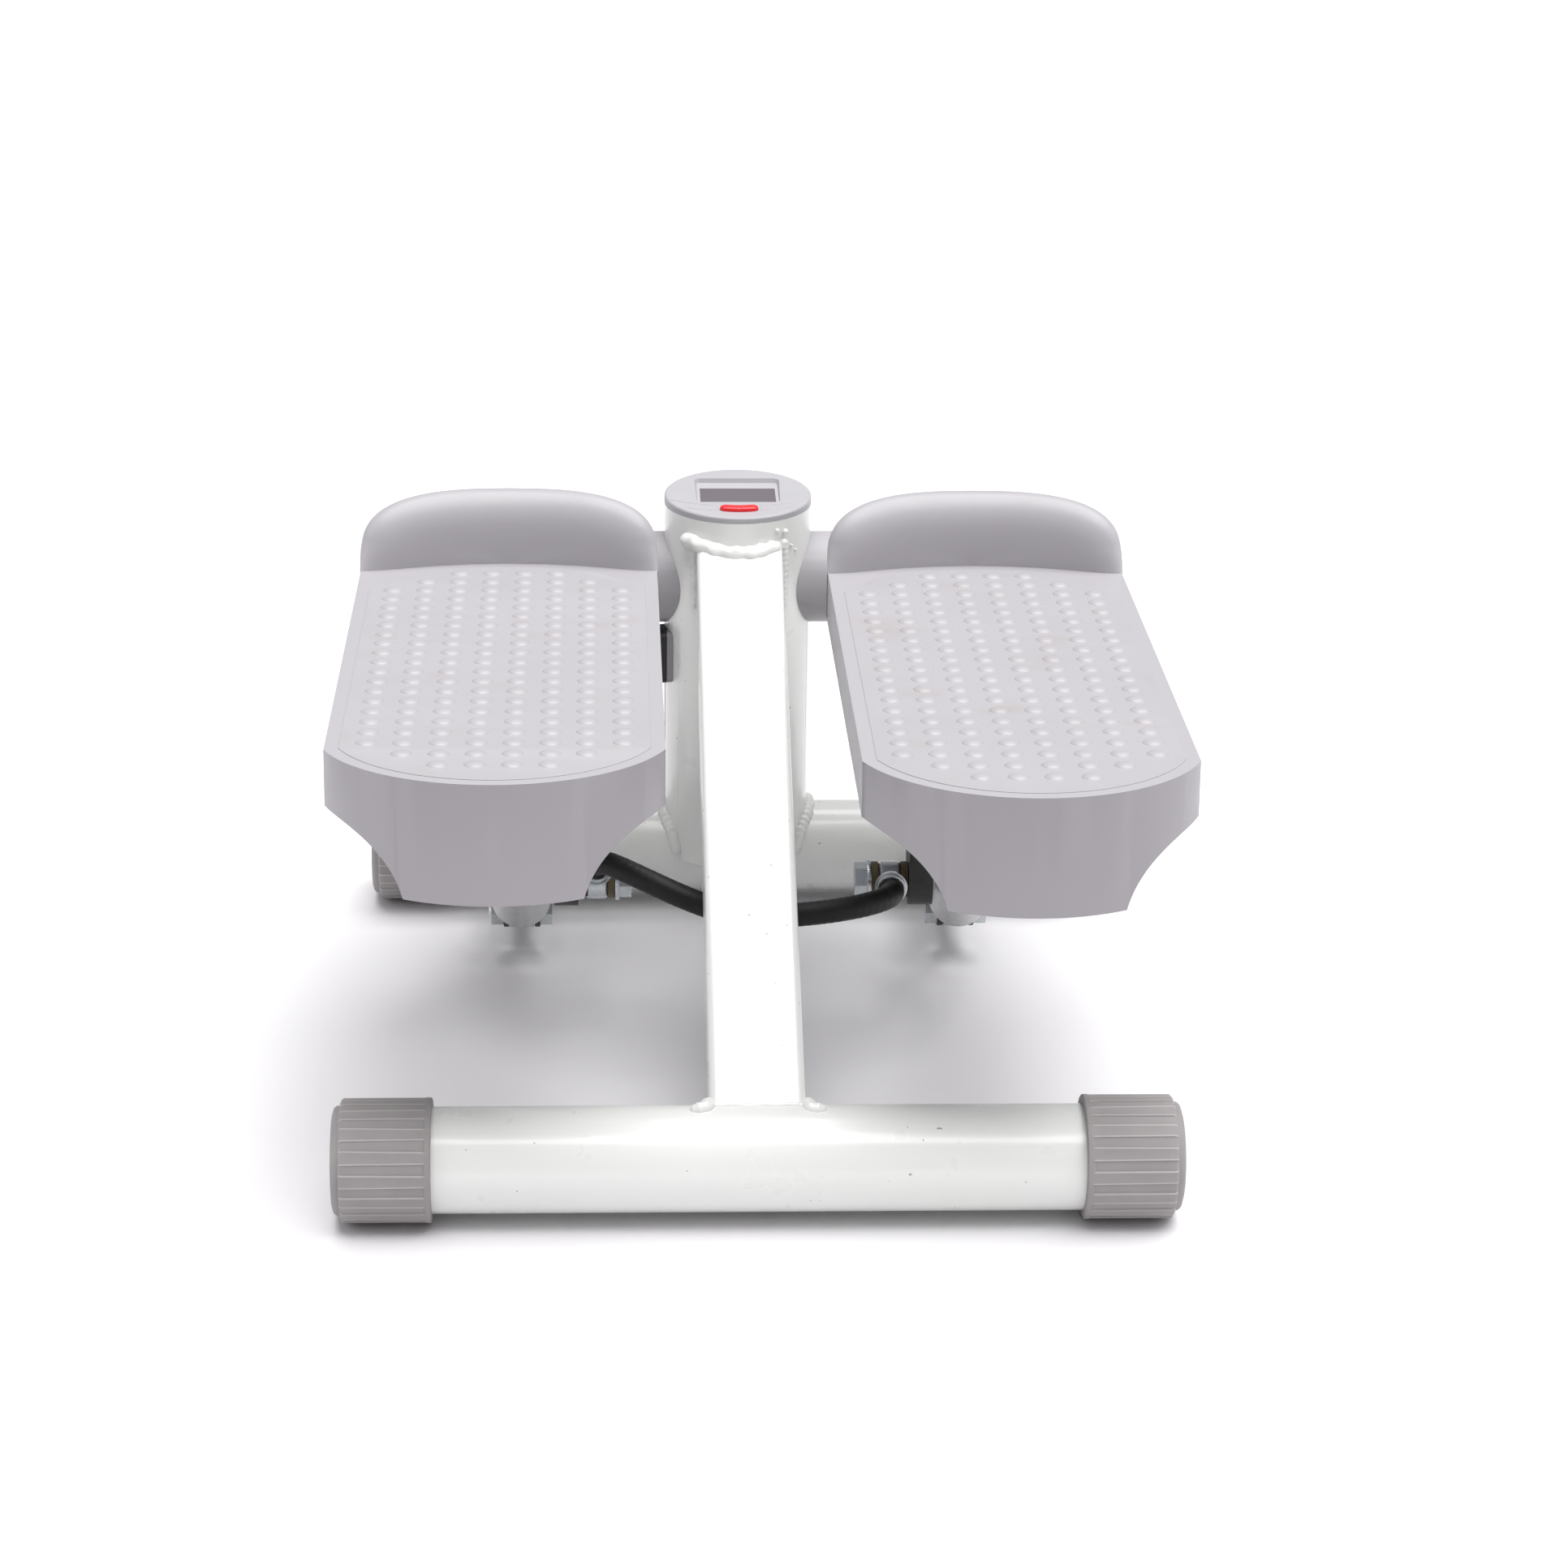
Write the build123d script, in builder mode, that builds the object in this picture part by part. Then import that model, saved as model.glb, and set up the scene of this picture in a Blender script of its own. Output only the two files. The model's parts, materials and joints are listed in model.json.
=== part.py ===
from build123d import *
from math import cos, hypot, radians, sin, tan
import os

# A mini stepper: two pedals on steel arms turn on one axle through an upright
# column, a rope round a guide pulley makes them move opposite ways, and a
# hydraulic cylinder under each arm resists the step.
# Frame: millimetres, +X to the user's right, +Y towards the toes, +Z up.
# The origin is on the floor, at the middle of the overall footprint.

os.makedirs("parts", exist_ok=True)

SIDES = {"left": -1, "right": 1}

# ---- Driving dimensions ----
tube_r = 21.0                 # 42 mm round tube for both floor tubes
tube_wall = 2.0
tube_half_length = 160.9
tube_z = 24.6                 # axis height, equal to the radius over the foot cap ribs
rear_tube_y = -149.43
tube_spacing = 325.4
front_tube_y = rear_tube_y + tube_spacing

cap_inner_x = 127.6           # mouth of a foot cap
cap_outer_x = 163.4           # end of its ribs
cap_dome = 3.5                # how far its domed end stands out
cap_core_r = 23.2
cap_dome_r = 21.5
cap_ribs = 18
cap_rib_width = 5.0

beam_width = 38.0             # rectangular tube from the rear tube up to the column
beam_depth = 30.0
beam_wall = 2.0
beam_rise = 25.4              # slope in degrees
beam_start = (6.0, 43.7)      # upper edge, from the rear tube's axis along Y, and height

column_r = 33.0
column_wall = 2.0
column_bottom = 26.0
column_top = 191.2

pivot_z = 155.7
axle_r = 10.0
running_gap = 0.05            # radial clearance of every turning fit
cover_r = 20.5
cover_inner_r = 17.0
cover_end_x = 46.0            # outer end of the fixed sleeve beside the column
hub_start_x = 47.5
hub_end_x = 121.0
hub_inner_r = 12.3
arm_inner_x = 81.5
arm_outer_x = 120.5
arm_top = 13.0                # arm faces, from the plane through the pivot
arm_bottom = -12.0
arm_reach = 300.0
arm_wall = 2.5

pedal_x = 101.0               # centre line of a pedal
pedal_tilt = {"left": 3.85, "right": 3.03}    # heel up, degrees, as it rests
tread_height = 23.1           # tread above the plane through the pivot
grid_reach = 221.9            # middle of the tread's bump field, from the pivot
pedal_half_width = 64.0
heel_corner_y = -118.0        # from the middle of the bump grid
heel_tip_y = -162.3
toe_corner_y = 146.0
toe_tip_y = 172.0
rim_depth = 22.0
keel_depth = 47.0
keel_half_width = 33.5
keel_waist = (42.0, 32.0)     # half width and depth half way down the hollow side
keel_full_y = -30.0           # the keel has its full depth from the heel to here
keel_end_y = 60.0
shell_wall = 3.0

pad_half_width = 58.5
pad_thickness = 2.0           # it lies flush in its seat
pad_gap = 0.3
pad_toe_chamfer = 13.0
pad_toe_corner_y = 127.0

guard_height = 27.0
guard_base_tip_y = 155.3      # inner foot of the toe guard, on the centre line
guard_base_corner_y = 138.5
guard_power = 2.6             # squareness of the guard's arched top

screw_r = 2.5
screw_head_r = 4.3
screw_rows = (-262.0, -90.0)  # from the pivot
boss_r = 5.5

cylinder_x = 97.0
cylinder_foot = (-69.4, 22.7)       # lower pivot: Y from the front tube axis, height
cylinder_head = (-225.0, -33.0)     # upper pivot: in the pedal's own plane, from the pivot
barrel_r = 13.0
barrel_start = 16.0
barrel_end = 122.0
barrel_bore_r = 10.5
rod_r = 5.0
rod_length = 130.0
piston_r = barrel_bore_r - running_gap
piston_thickness = 8.0
eye_width = 10.8
foot_eye_r = 8.4
head_eye_r = 11.0
head_eye_bore_r = 8.2         # wide, because the linkage is opened at this eye
head_bush_r = 6.0

bolt_r = 4.0                  # M8
bolt_head_width = 13.0        # across flats
bolt_head_height = 5.3
sheet = 2.5                   # bracket steel

rope_r = 5.1
rope_eye_x = 63.5
rope_eye_at = (-120.4, 57.5)  # Y from the pivot axis, height
rope_eye_r = 8.0
rope_eye_width = 9.8
rope_bush_width = 3.0
rope_washer_width = 1.8
ferrule_lift = {"left": 40.0, "right": 9.0}    # how far each swivelled eye looks up
ferrule_end = 20.0            # from the eye's centre to where the rope comes out
rope_middle_y = -169.4        # the rope's place under the beam, from the pivot axis
rope_middle_z = 60.0
pulley_groove_r = 14.0
pulley_r = 18.5
pulley_height = 14.0

bezel_height = 5.0            # at the toe side; the face falls towards the user
face_fall = 2.0               # degrees
bezel_r = 33.0
lens_width = 33.8
lens_depth = 21.0
lens_centre_y = 0.3           # towards the toes from the column's axis
recess_width = 38.8
recess_depth = 32.5
recess_centre_y = 3.75
recess_sink = 2.4
button_arc_r = 22.3
button_width = 5.4
button_half_angle = 15.1
button_stand = 1.7
button_travel = 1.2

sensor_turn = 15.0            # direction of the sensor, from -X towards the user
sensor_low_z = 110.0
sensor_height = 24.0
sensor_screw_at = -8.5         # from the middle of the housing
sensor_screw_r = 1.5
cable_r = 1.4


# ---- Working planes and points ----
axle_y = front_tube_y
foot_y = front_tube_y + cylinder_foot[0]
foot_z = cylinder_foot[1]
pulley_y = axle_y + rope_middle_y + pulley_groove_r + rope_r + 0.2
lug_inner_x = rope_eye_x + rope_eye_width / 2 + rope_bush_width + 0.1
arm_middle_x = (arm_inner_x + arm_outer_x) / 2
bezel_top = column_top + bezel_height
clevis_half = eye_width / 2 + 0.6        # half the gap of the clevis under an arm
clevis_reach = clevis_half + sheet


def pedal_plane(side):
    """Plane through the pivot axis, parallel to the side's tread, x across and y to the toes."""
    tilt = radians(pedal_tilt[side])
    return Plane(origin=(0, axle_y, pivot_z), x_dir=(1, 0, 0), z_dir=(0, sin(tilt), cos(tilt)))


def across(plane, y):
    """Upright plane at local y: sketch x across, sketch y up, extruding towards the heel."""
    return Plane(origin=plane.from_local_coords((0, y, 0)), x_dir=plane.x_dir, z_dir=-plane.y_dir)


def lengthwise(plane, x):
    """Upright plane at local x: sketch x towards the toes, sketch y up, extruding to +X."""
    return Plane(origin=plane.from_local_coords((x, 0, 0)), x_dir=plane.y_dir, z_dir=plane.x_dir)


def cylinder_plane(side):
    """Plane at the cylinder's lower pivot with its normal along the rod, and the pivots' distance."""
    tilt = radians(pedal_tilt[side])
    head_y = axle_y + cylinder_head[0] * cos(tilt) + cylinder_head[1] * sin(tilt)
    head_z = pivot_z - cylinder_head[0] * sin(tilt) + cylinder_head[1] * cos(tilt)
    length = hypot(head_y - foot_y, head_z - foot_z)
    direction = (0, (head_y - foot_y) / length, (head_z - foot_z) / length)
    x = SIDES[side] * cylinder_x
    return Plane(origin=(x, foot_y, foot_z), x_dir=(1, 0, 0), z_dir=direction), length


def beam_top(y):
    return beam_start[1] + (y - rear_tube_y - beam_start[0]) * tan(radians(beam_rise))


def beam_underside(y):
    return beam_top(y) - beam_depth / cos(radians(beam_rise))


def save(part, name):
    part.label = name
    export_step(part, f"parts/{name}.step")


def ring_along_x(start, end, y, z, outer, inner=0.0):
    """A disc, or a ring if it has an inner radius, from x = start to x = end."""
    with BuildPart() as ring:
        with BuildSketch(Plane.YZ.offset(start)):
            with Locations((y, z)):
                Circle(outer)
                if inner > 0:
                    Circle(inner, mode=Mode.SUBTRACT)
        extrude(amount=end - start)
    return ring.part


def hex_bolt(seat, direction, y, z, shank, head=bolt_head_height):
    """Bolt along X: the head's seat is at x = seat, the shank points along direction."""
    with BuildPart() as bolt:
        with BuildSketch(Plane.YZ.offset(seat)):
            with Locations((y, z)):
                RegularPolygon(bolt_head_width / 2, 6, major_radius=False)
        extrude(amount=-direction * head)
        with BuildSketch(Plane.YZ.offset(seat)):
            with Locations((y, z)):
                Circle(bolt_r)
        extrude(amount=direction * shank)
        chamfer(bolt.edges().filter_by(GeomType.CIRCLE).sort_by(Axis.X)[-1 if direction > 0 else 0], 0.8)
    return bolt.part


def hex_nut(start, end, y, z):
    with BuildPart() as nut:
        with BuildSketch(Plane.YZ.offset(start)):
            with Locations((y, z)):
                RegularPolygon(bolt_head_width / 2, 6, major_radius=False)
                Circle(bolt_r + running_gap, mode=Mode.SUBTRACT)
        extrude(amount=end - start)
    return nut.part


# ---- Steel frame ----
def floor_tube(y):
    return ring_along_x(-tube_half_length, tube_half_length, y, tube_z, tube_r, tube_r - tube_wall)


def foot_cap(side, y):
    """Rubber cap: a socket over the tube end, flat-topped ribs round it and a domed end."""
    with BuildPart() as cap:
        with BuildSketch(Plane.YZ.offset(side * cap_inner_x)):
            with Locations((y, tube_z)):
                Circle(cap_core_r)
                with PolarLocations(tube_z - 1.5, cap_ribs, start_angle=-90):
                    Rectangle(3.0, cap_rib_width)
        extrude(amount=side * (cap_outer_x - cap_inner_x))
        with BuildSketch(Plane.YZ.offset(side * cap_outer_x)):
            with Locations((y, tube_z)):
                Circle(cap_dome_r)
        extrude(amount=side * cap_dome)
        end_edge = cap.edges().filter_by(GeomType.CIRCLE).sort_by(Axis.X)[-1 if side > 0 else 0]
        fillet(end_edge, 2.5)
        with BuildSketch(Plane.YZ.offset(side * cap_inner_x)):
            with Locations((y, tube_z)):
                Circle(tube_r + running_gap)
        extrude(amount=side * (tube_half_length + running_gap - cap_inner_x), mode=Mode.SUBTRACT)
    return cap.part


def centre_beam():
    """Sloping rectangular tube, coped round the rear tube and the column."""
    rise = radians(beam_rise)
    start = (rear_tube_y + beam_start[0], beam_start[1])
    length = (front_tube_y - start[0]) / cos(rise)
    down = (beam_depth * sin(rise), -beam_depth * cos(rise))
    end = (start[0] + length * cos(rise), start[1] + length * sin(rise))
    corners = [start, end, (end[0] + down[0], end[1] + down[1]), (start[0] + down[0], start[1] + down[1])]
    with BuildPart() as beam:
        with BuildSketch(Plane.YZ):
            Polygon(*corners, align=None)
        extrude(amount=beam_width / 2, both=True)
        fillet(beam.edges().filter_by(lambda e: e.length > length / 2), 3.0)
        with BuildSketch(Plane.YZ):
            Polygon(*corners, align=None)
            offset(amount=-beam_wall, kind=Kind.INTERSECTION, mode=Mode.REPLACE)
        extrude(amount=beam_width / 2 - beam_wall, both=True, mode=Mode.SUBTRACT)
        with BuildSketch(Plane.YZ):
            with Locations((rear_tube_y, tube_z)):
                Circle(tube_r)
        extrude(amount=beam_width, both=True, mode=Mode.SUBTRACT)
        with BuildSketch(Plane.XY):
            with Locations((0, front_tube_y)):
                Circle(column_r)
        extrude(amount=column_top + beam_depth, mode=Mode.SUBTRACT)
    return beam.part


def sensor_axis():
    """Radial plane of the step sensor: z outwards from the column, x level, y up."""
    turn = radians(sensor_turn)
    outward = (-cos(turn), -sin(turn), 0)
    middle = sensor_low_z + sensor_height / 2
    return Plane(origin=(0, axle_y, middle), x_dir=(sin(turn), -cos(turn), 0), z_dir=outward)


def upright_column():
    """Round column standing on the front tube, drilled for the axle and the sensor cable."""
    with BuildPart() as column:
        with BuildSketch(Plane.XY.offset(column_bottom)):
            with Locations((0, front_tube_y)):
                Circle(column_r)
                Circle(column_r - column_wall, mode=Mode.SUBTRACT)
        extrude(amount=column_top - column_bottom)
        with BuildSketch(Plane.YZ):
            with Locations((front_tube_y, tube_z)):
                Circle(tube_r)
            with Locations((axle_y, pivot_z)):
                Circle(axle_r + running_gap)
        extrude(amount=2 * column_r, both=True, mode=Mode.SUBTRACT)
        with BuildSketch(sensor_axis()):
            Circle(3.0)
            with Locations((0, sensor_screw_at)):
                Circle(sensor_screw_r + running_gap)
        extrude(amount=2 * column_r, mode=Mode.SUBTRACT)
    return column.part


def pivot_cover(side):
    """Plastic sleeve round the axle, cut to sit against the column."""
    with BuildPart() as cover:
        with BuildSketch(Plane.YZ):
            with Locations((axle_y, pivot_z)):
                Circle(cover_r)
                Circle(cover_inner_r, mode=Mode.SUBTRACT)
        extrude(amount=side * cover_end_x)
        with BuildSketch(Plane.XY):
            with Locations((0, front_tube_y)):
                Circle(column_r + running_gap)
        extrude(amount=column_top, mode=Mode.SUBTRACT)
    return cover.part


def cylinder_bracket(side):
    """U-shaped clevis, open at the top, welded to the front tube for a cylinder's lower bolt."""
    half_gap = eye_width / 2 + 0.3
    with BuildPart() as bracket:
        with BuildSketch(Plane.YZ.offset(side * cylinder_x)):
            with Locations((foot_y, foot_z)):
                Circle(foot_eye_r)
            with Locations(((foot_y + front_tube_y) / 2, foot_z)):
                Rectangle(front_tube_y - foot_y, 2 * foot_eye_r)
        extrude(amount=half_gap + sheet, both=True)
        with BuildSketch(Plane.YZ.offset(side * cylinder_x)):
            low = foot_z - foot_eye_r + sheet
            Polygon(
                (foot_y - 2 * foot_eye_r, foot_z - 3 * foot_eye_r),
                (foot_y + foot_eye_r + 3, foot_z - 3 * foot_eye_r),
                (foot_y + foot_eye_r + 3, low),
                (front_tube_y, low),
                (front_tube_y, foot_z + 2 * foot_eye_r),
                (foot_y - 2 * foot_eye_r, foot_z + 2 * foot_eye_r),
                align=None,
            )
        extrude(amount=half_gap, both=True, mode=Mode.SUBTRACT)
        with BuildSketch(Plane.YZ.offset(side * cylinder_x)):
            with Locations((front_tube_y, tube_z)):
                Circle(tube_r)
            with Locations((foot_y, foot_z)):
                Circle(bolt_r + running_gap)
        extrude(amount=2 * half_gap + 2 * sheet, both=True, mode=Mode.SUBTRACT)
    return bracket.part


def pulley_bracket():
    """Bent strap under the beam, with a tongue above and below the guide pulley."""
    web_y = pulley_y + pulley_r + 3.0
    front_y = pulley_y - 10.0
    high = rope_middle_z + pulley_height / 2 + 0.6
    low = rope_middle_z - pulley_height / 2 - 0.6
    with BuildPart() as bracket:
        with BuildSketch(Plane.YZ):
            Polygon(
                (front_y, low - sheet),
                (web_y + sheet, low - sheet),
                (web_y + sheet, beam_underside(web_y + sheet)),
                (web_y, beam_underside(web_y)),
                (web_y, high + sheet),
                (front_y, high + sheet),
                (front_y, high),
                (web_y, high),
                (web_y, low),
                (front_y, low),
                align=None,
            )
        extrude(amount=14.0, both=True)
        with BuildSketch(Plane.XY):
            with Locations((0, pulley_y)):
                Circle(bolt_r + running_gap)
        extrude(amount=column_top / 2, mode=Mode.SUBTRACT)
        corners = bracket.edges().filter_by(Axis.Z).sort_by(Axis.Y)[:4]
        fillet(corners, 6.0)
    return bracket.part


def guide_pulley():
    with BuildPart() as pulley:
        with BuildSketch(Plane.XY.offset(rope_middle_z - pulley_height / 2)):
            with Locations((0, pulley_y)):
                Circle(pulley_r)
                Circle(bolt_r + running_gap, mode=Mode.SUBTRACT)
        extrude(amount=pulley_height)
        with BuildSketch(Plane.YZ):
            with Locations((pulley_y + pulley_groove_r + rope_r, rope_middle_z)):
                Circle(rope_r + 0.2)
        revolve(axis=Axis((0, pulley_y, 0), (0, 0, 1)), mode=Mode.SUBTRACT)
    return pulley.part


def pulley_bolt():
    """Bolt from below, through the strap and the pulley."""
    low = rope_middle_z - pulley_height / 2 - 0.6 - sheet
    with BuildPart() as bolt:
        with BuildSketch(Plane.XY.offset(low)):
            with Locations((0, pulley_y)):
                RegularPolygon(bolt_head_width / 2, 6, major_radius=False)
        extrude(amount=-bolt_head_height)
        with BuildSketch(Plane.XY.offset(low)):
            with Locations((0, pulley_y)):
                Circle(bolt_r)
        extrude(amount=pulley_height + 1.2 + 2 * sheet + 4.0)
    return bolt.part


def lower_cylinder_fasteners():
    """The bolt and the nut of both lower pivots."""
    reach = eye_width / 2 + 0.3 + sheet
    bolts = []
    nuts = []
    for side in SIDES.values():
        seat = side * (cylinder_x - reach)
        bolts.append(hex_bolt(seat, side, foot_y, foot_z, 2 * reach + 6.5))
        far = side * (cylinder_x + reach)
        nuts.append(hex_nut(far, far + side * 5.5, foot_y, foot_z))
    return Compound(children=bolts), Compound(children=nuts)


# ---- Pedal arms and what turns with them ----
def screw_places(side):
    """The four screws that hold a pedal on its arm, in the arm's plane."""
    return [(side * arm_middle_x + across_x, y) for across_x in (-9.0, 9.0) for y in screw_rows]


def pedal_arm(side_name):
    """Welded arm: hub tube, rectangular tube under the pedal, rope lug and cylinder clevis."""
    side = SIDES[side_name]
    plane = pedal_plane(side_name)
    middle_x = side * arm_middle_x
    arm_half = (arm_outer_x - arm_inner_x) / 2
    arm_mid_z = (arm_top + arm_bottom) / 2
    arm_depth = arm_top - arm_bottom
    lug = plane.to_local_coords(Vector(0, axle_y + rope_eye_at[0], rope_eye_at[1]))
    with BuildPart() as arm:
        with BuildSketch(across(plane, 0)):
            with Locations((middle_x, arm_mid_z)):
                Rectangle(2 * arm_half, arm_depth)
        extrude(amount=arm_reach)
        fillet(arm.edges().filter_by(lambda e: e.length > arm_reach / 2), 3.0)
        with BuildSketch(across(plane, 0)):
            with Locations((middle_x, arm_mid_z)):
                Rectangle(2 * (arm_half - arm_wall), arm_depth - 2 * arm_wall)
        extrude(amount=arm_reach, mode=Mode.SUBTRACT)
        with BuildSketch(lengthwise(plane, side * hub_start_x)):
            Circle(cover_inner_r)
        extrude(amount=side * (hub_end_x - hub_start_x))
        with BuildSketch(lengthwise(plane, side * lug_inner_x)):
            Polygon((-152, arm_top - 3), (-92, arm_top - 3), (lug.Y + 10, lug.Z), (lug.Y - 10, lug.Z), align=None)
            with Locations((lug.Y, lug.Z)):
                Circle(11.0)
        extrude(amount=side * (arm_inner_x + 0.5 - lug_inner_x))
        with BuildSketch(lengthwise(plane, side * (cylinder_x - clevis_reach))):
            with Locations(cylinder_head):
                Circle(10.0)
            with Locations((cylinder_head[0], (cylinder_head[1] + arm_bottom) / 2)):
                Rectangle(20.0, arm_bottom - cylinder_head[1] + 0.5)
        extrude(amount=side * 2 * clevis_reach)
        with BuildSketch(lengthwise(plane, side * (cylinder_x - clevis_half))):
            with Locations((cylinder_head[0], cylinder_head[1] + 1)):
                Rectangle(60.0, 2 * (arm_bottom - cylinder_head[1]) - 2)
        extrude(amount=side * 2 * clevis_half, mode=Mode.SUBTRACT)
        with BuildSketch(lengthwise(plane, 0)):
            Circle(hub_inner_r)
            with Locations((lug.Y, lug.Z), cylinder_head):
                Circle(bolt_r + running_gap)
        extrude(amount=side * 2 * hub_end_x, mode=Mode.SUBTRACT)
        with BuildSketch(plane.offset(arm_bottom - 1)):
            with Locations(*screw_places(side)):
                Circle(screw_head_r + 1)
        extrude(amount=arm_wall + 2, mode=Mode.SUBTRACT)
        with BuildSketch(plane.offset(arm_top - arm_wall - 1)):
            with Locations(*screw_places(side)):
                Circle(screw_r + running_gap)
        extrude(amount=arm_wall + 2, mode=Mode.SUBTRACT)
    return arm.part



def hub_cover(side_name):
    """Plastic sleeve over the hub, slotted where the arm leaves it."""
    side = SIDES[side_name]
    plane = pedal_plane(side_name)
    with BuildPart() as cover:
        with BuildSketch(lengthwise(plane, side * hub_start_x)):
            Circle(cover_r)
            Circle(cover_inner_r + running_gap, mode=Mode.SUBTRACT)
        extrude(amount=side * (hub_end_x - hub_start_x))
        with BuildSketch(lengthwise(plane, side * (arm_inner_x - 0.3))):
            with Locations((-20, (arm_top + arm_bottom) / 2)):
                Rectangle(40, arm_top - arm_bottom + 0.6)
        extrude(amount=side * (hub_end_x - arm_inner_x + 1), mode=Mode.SUBTRACT)
    return cover.part


def hub_bushes(side):
    """Two nylon bushes, one at each end of the hub."""
    length = 20.0
    starts = (hub_start_x, hub_end_x - length)
    rings = []
    for start in starts:
        inner = axle_r + running_gap
        outer = hub_inner_r - running_gap
        rings.append(ring_along_x(side * start, side * (start + length), axle_y, pivot_z, outer, inner))
    return Compound(children=rings)


def pedal_screws(side_name):
    plane = pedal_plane(side_name)
    with BuildPart() as screws:
        with BuildSketch(plane.offset(arm_top - arm_wall)):
            with Locations(*screw_places(SIDES[side_name])):
                Circle(screw_head_r)
        extrude(amount=-2.6)
        with BuildSketch(plane.offset(arm_top - arm_wall)):
            with Locations(*screw_places(SIDES[side_name])):
                Circle(screw_r)
        extrude(amount=arm_wall + 6.0)
    return screws.part


def rope_bolt(side):
    """Bolt through the rope's eye into the threaded lug."""
    seat = rope_eye_x - rope_eye_width / 2 - rope_bush_width - rope_washer_width - 0.1
    lug_y = axle_y + rope_eye_at[0]
    return hex_bolt(side * seat, side, lug_y, rope_eye_at[1], arm_inner_x - 1 - seat)


def rope_washer(side):
    outer_end = rope_eye_x - rope_eye_width / 2 - rope_bush_width - 0.1
    y = axle_y + rope_eye_at[0]
    start = side * (outer_end - rope_washer_width)
    return ring_along_x(start, side * outer_end, y, rope_eye_at[1], 8.6, bolt_r + running_gap)


def rope_bushes(side):
    """A bush on each side of the rope's eye."""
    y = axle_y + rope_eye_at[0]
    rings = []
    for direction in (-1, 1):
        near = rope_eye_x + direction * (rope_eye_width / 2 + 0.05)
        far = near + direction * rope_bush_width
        rings.append(ring_along_x(side * near, side * far, y, rope_eye_at[1], 7.8, bolt_r + running_gap))
    return Compound(children=rings)


def ferrule_plane(side_name):
    """Plane at the eye's centre, its normal the way the rope leaves."""
    lift = radians(ferrule_lift[side_name])
    origin = (SIDES[side_name] * rope_eye_x, axle_y + rope_eye_at[0], rope_eye_at[1])
    return Plane(origin=origin, x_dir=(1, 0, 0), z_dir=(0, -cos(lift), sin(lift)))


def rope_eye(side_name):
    """Eye end of the rope: a ring for the bolt, a hexagon, a flange and a crimped socket."""
    plane = ferrule_plane(side_name)
    x = SIDES[side_name] * rope_eye_x
    with BuildPart() as eye:
        with BuildSketch(Plane.YZ.offset(x)):
            with Locations((axle_y + rope_eye_at[0], rope_eye_at[1])):
                Circle(rope_eye_r)
        extrude(amount=rope_eye_width / 2, both=True)
        chamfer(eye.edges().filter_by(GeomType.CIRCLE), 1.2)
        with BuildSketch(plane):
            Circle(4.6)
        extrude(amount=ferrule_end - 5)
        with BuildSketch(plane.offset(9.0)):
            RegularPolygon(6.0, 6)
        extrude(amount=5.0)
        with BuildSketch(plane.offset(14.0)):
            Circle(7.0)
        extrude(amount=2.0)
        with BuildSketch(plane.offset(16.0)):
            Circle(6.3)
        extrude(amount=ferrule_end - 16.0)
        with BuildSketch(plane.offset(12.0)):
            Circle(rope_r + running_gap)
        extrude(amount=ferrule_end, mode=Mode.SUBTRACT)
        with BuildSketch(Plane.YZ.offset(x)):
            with Locations((axle_y + rope_eye_at[0], rope_eye_at[1])):
                Circle(bolt_r + running_gap)
        extrude(amount=rope_eye_width, both=True, mode=Mode.SUBTRACT)
    return eye.part


def rope_half(side_name):
    """Half of the rope, from its eye's socket to the middle of the guide pulley."""
    plane = ferrule_plane(side_name)
    start = plane.from_local_coords((0, 0, 12.1))
    straight_end = plane.from_local_coords((0, 0, ferrule_end + 2))
    middle = (0, axle_y + rope_middle_y, rope_middle_z)
    with BuildPart() as rope:
        with BuildLine():
            Line(start, straight_end)
            Spline(straight_end, middle, tangents=(plane.z_dir, (-SIDES[side_name], 0, 0)))
        with BuildSketch(plane.offset(12.1)):
            Circle(rope_r)
        sweep()
    return rope.part


def rod_bolt(side_name):
    """Shouldered bolt through the clevis under an arm: the rod's eye rides on the shoulder."""
    side = SIDES[side_name]
    plane = pedal_plane(side_name)
    head_end = side * (cylinder_x - clevis_reach)
    with BuildPart() as bolt:
        with BuildSketch(lengthwise(plane, head_end)):
            with Locations(cylinder_head):
                RegularPolygon(bolt_head_width / 2, 6, major_radius=False)
        extrude(amount=-side * bolt_head_height)
        with BuildSketch(lengthwise(plane, head_end)):
            with Locations(cylinder_head):
                Circle(bolt_r)
        extrude(amount=side * (2 * clevis_reach + 3))
        with BuildSketch(lengthwise(plane, side * cylinder_x)):
            with Locations(cylinder_head):
                Circle(head_bush_r)
        extrude(amount=clevis_half - running_gap, both=True)
    return bolt.part


def sensor_magnet():
    """Magnet block under the left hub, which passes the sensor at each step."""
    plane = pedal_plane("left")
    with BuildPart() as magnet:
        with BuildSketch(lengthwise(plane, -hub_start_x - 4)):
            with Locations((0, -cover_r - 1)):
                Rectangle(8, 6)
            Circle(cover_r + running_gap, mode=Mode.SUBTRACT)
        extrude(amount=-10)
    return magnet.part


# ---- Pedals ----
def tread_plane(side_name):
    """Plane of a tread, with its origin at the middle of the bump grid."""
    plane = pedal_plane(side_name)
    origin = plane.from_local_coords((SIDES[side_name] * pedal_x, -grid_reach, tread_height))
    return Plane(origin=origin, x_dir=plane.x_dir, z_dir=plane.z_dir)


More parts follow.
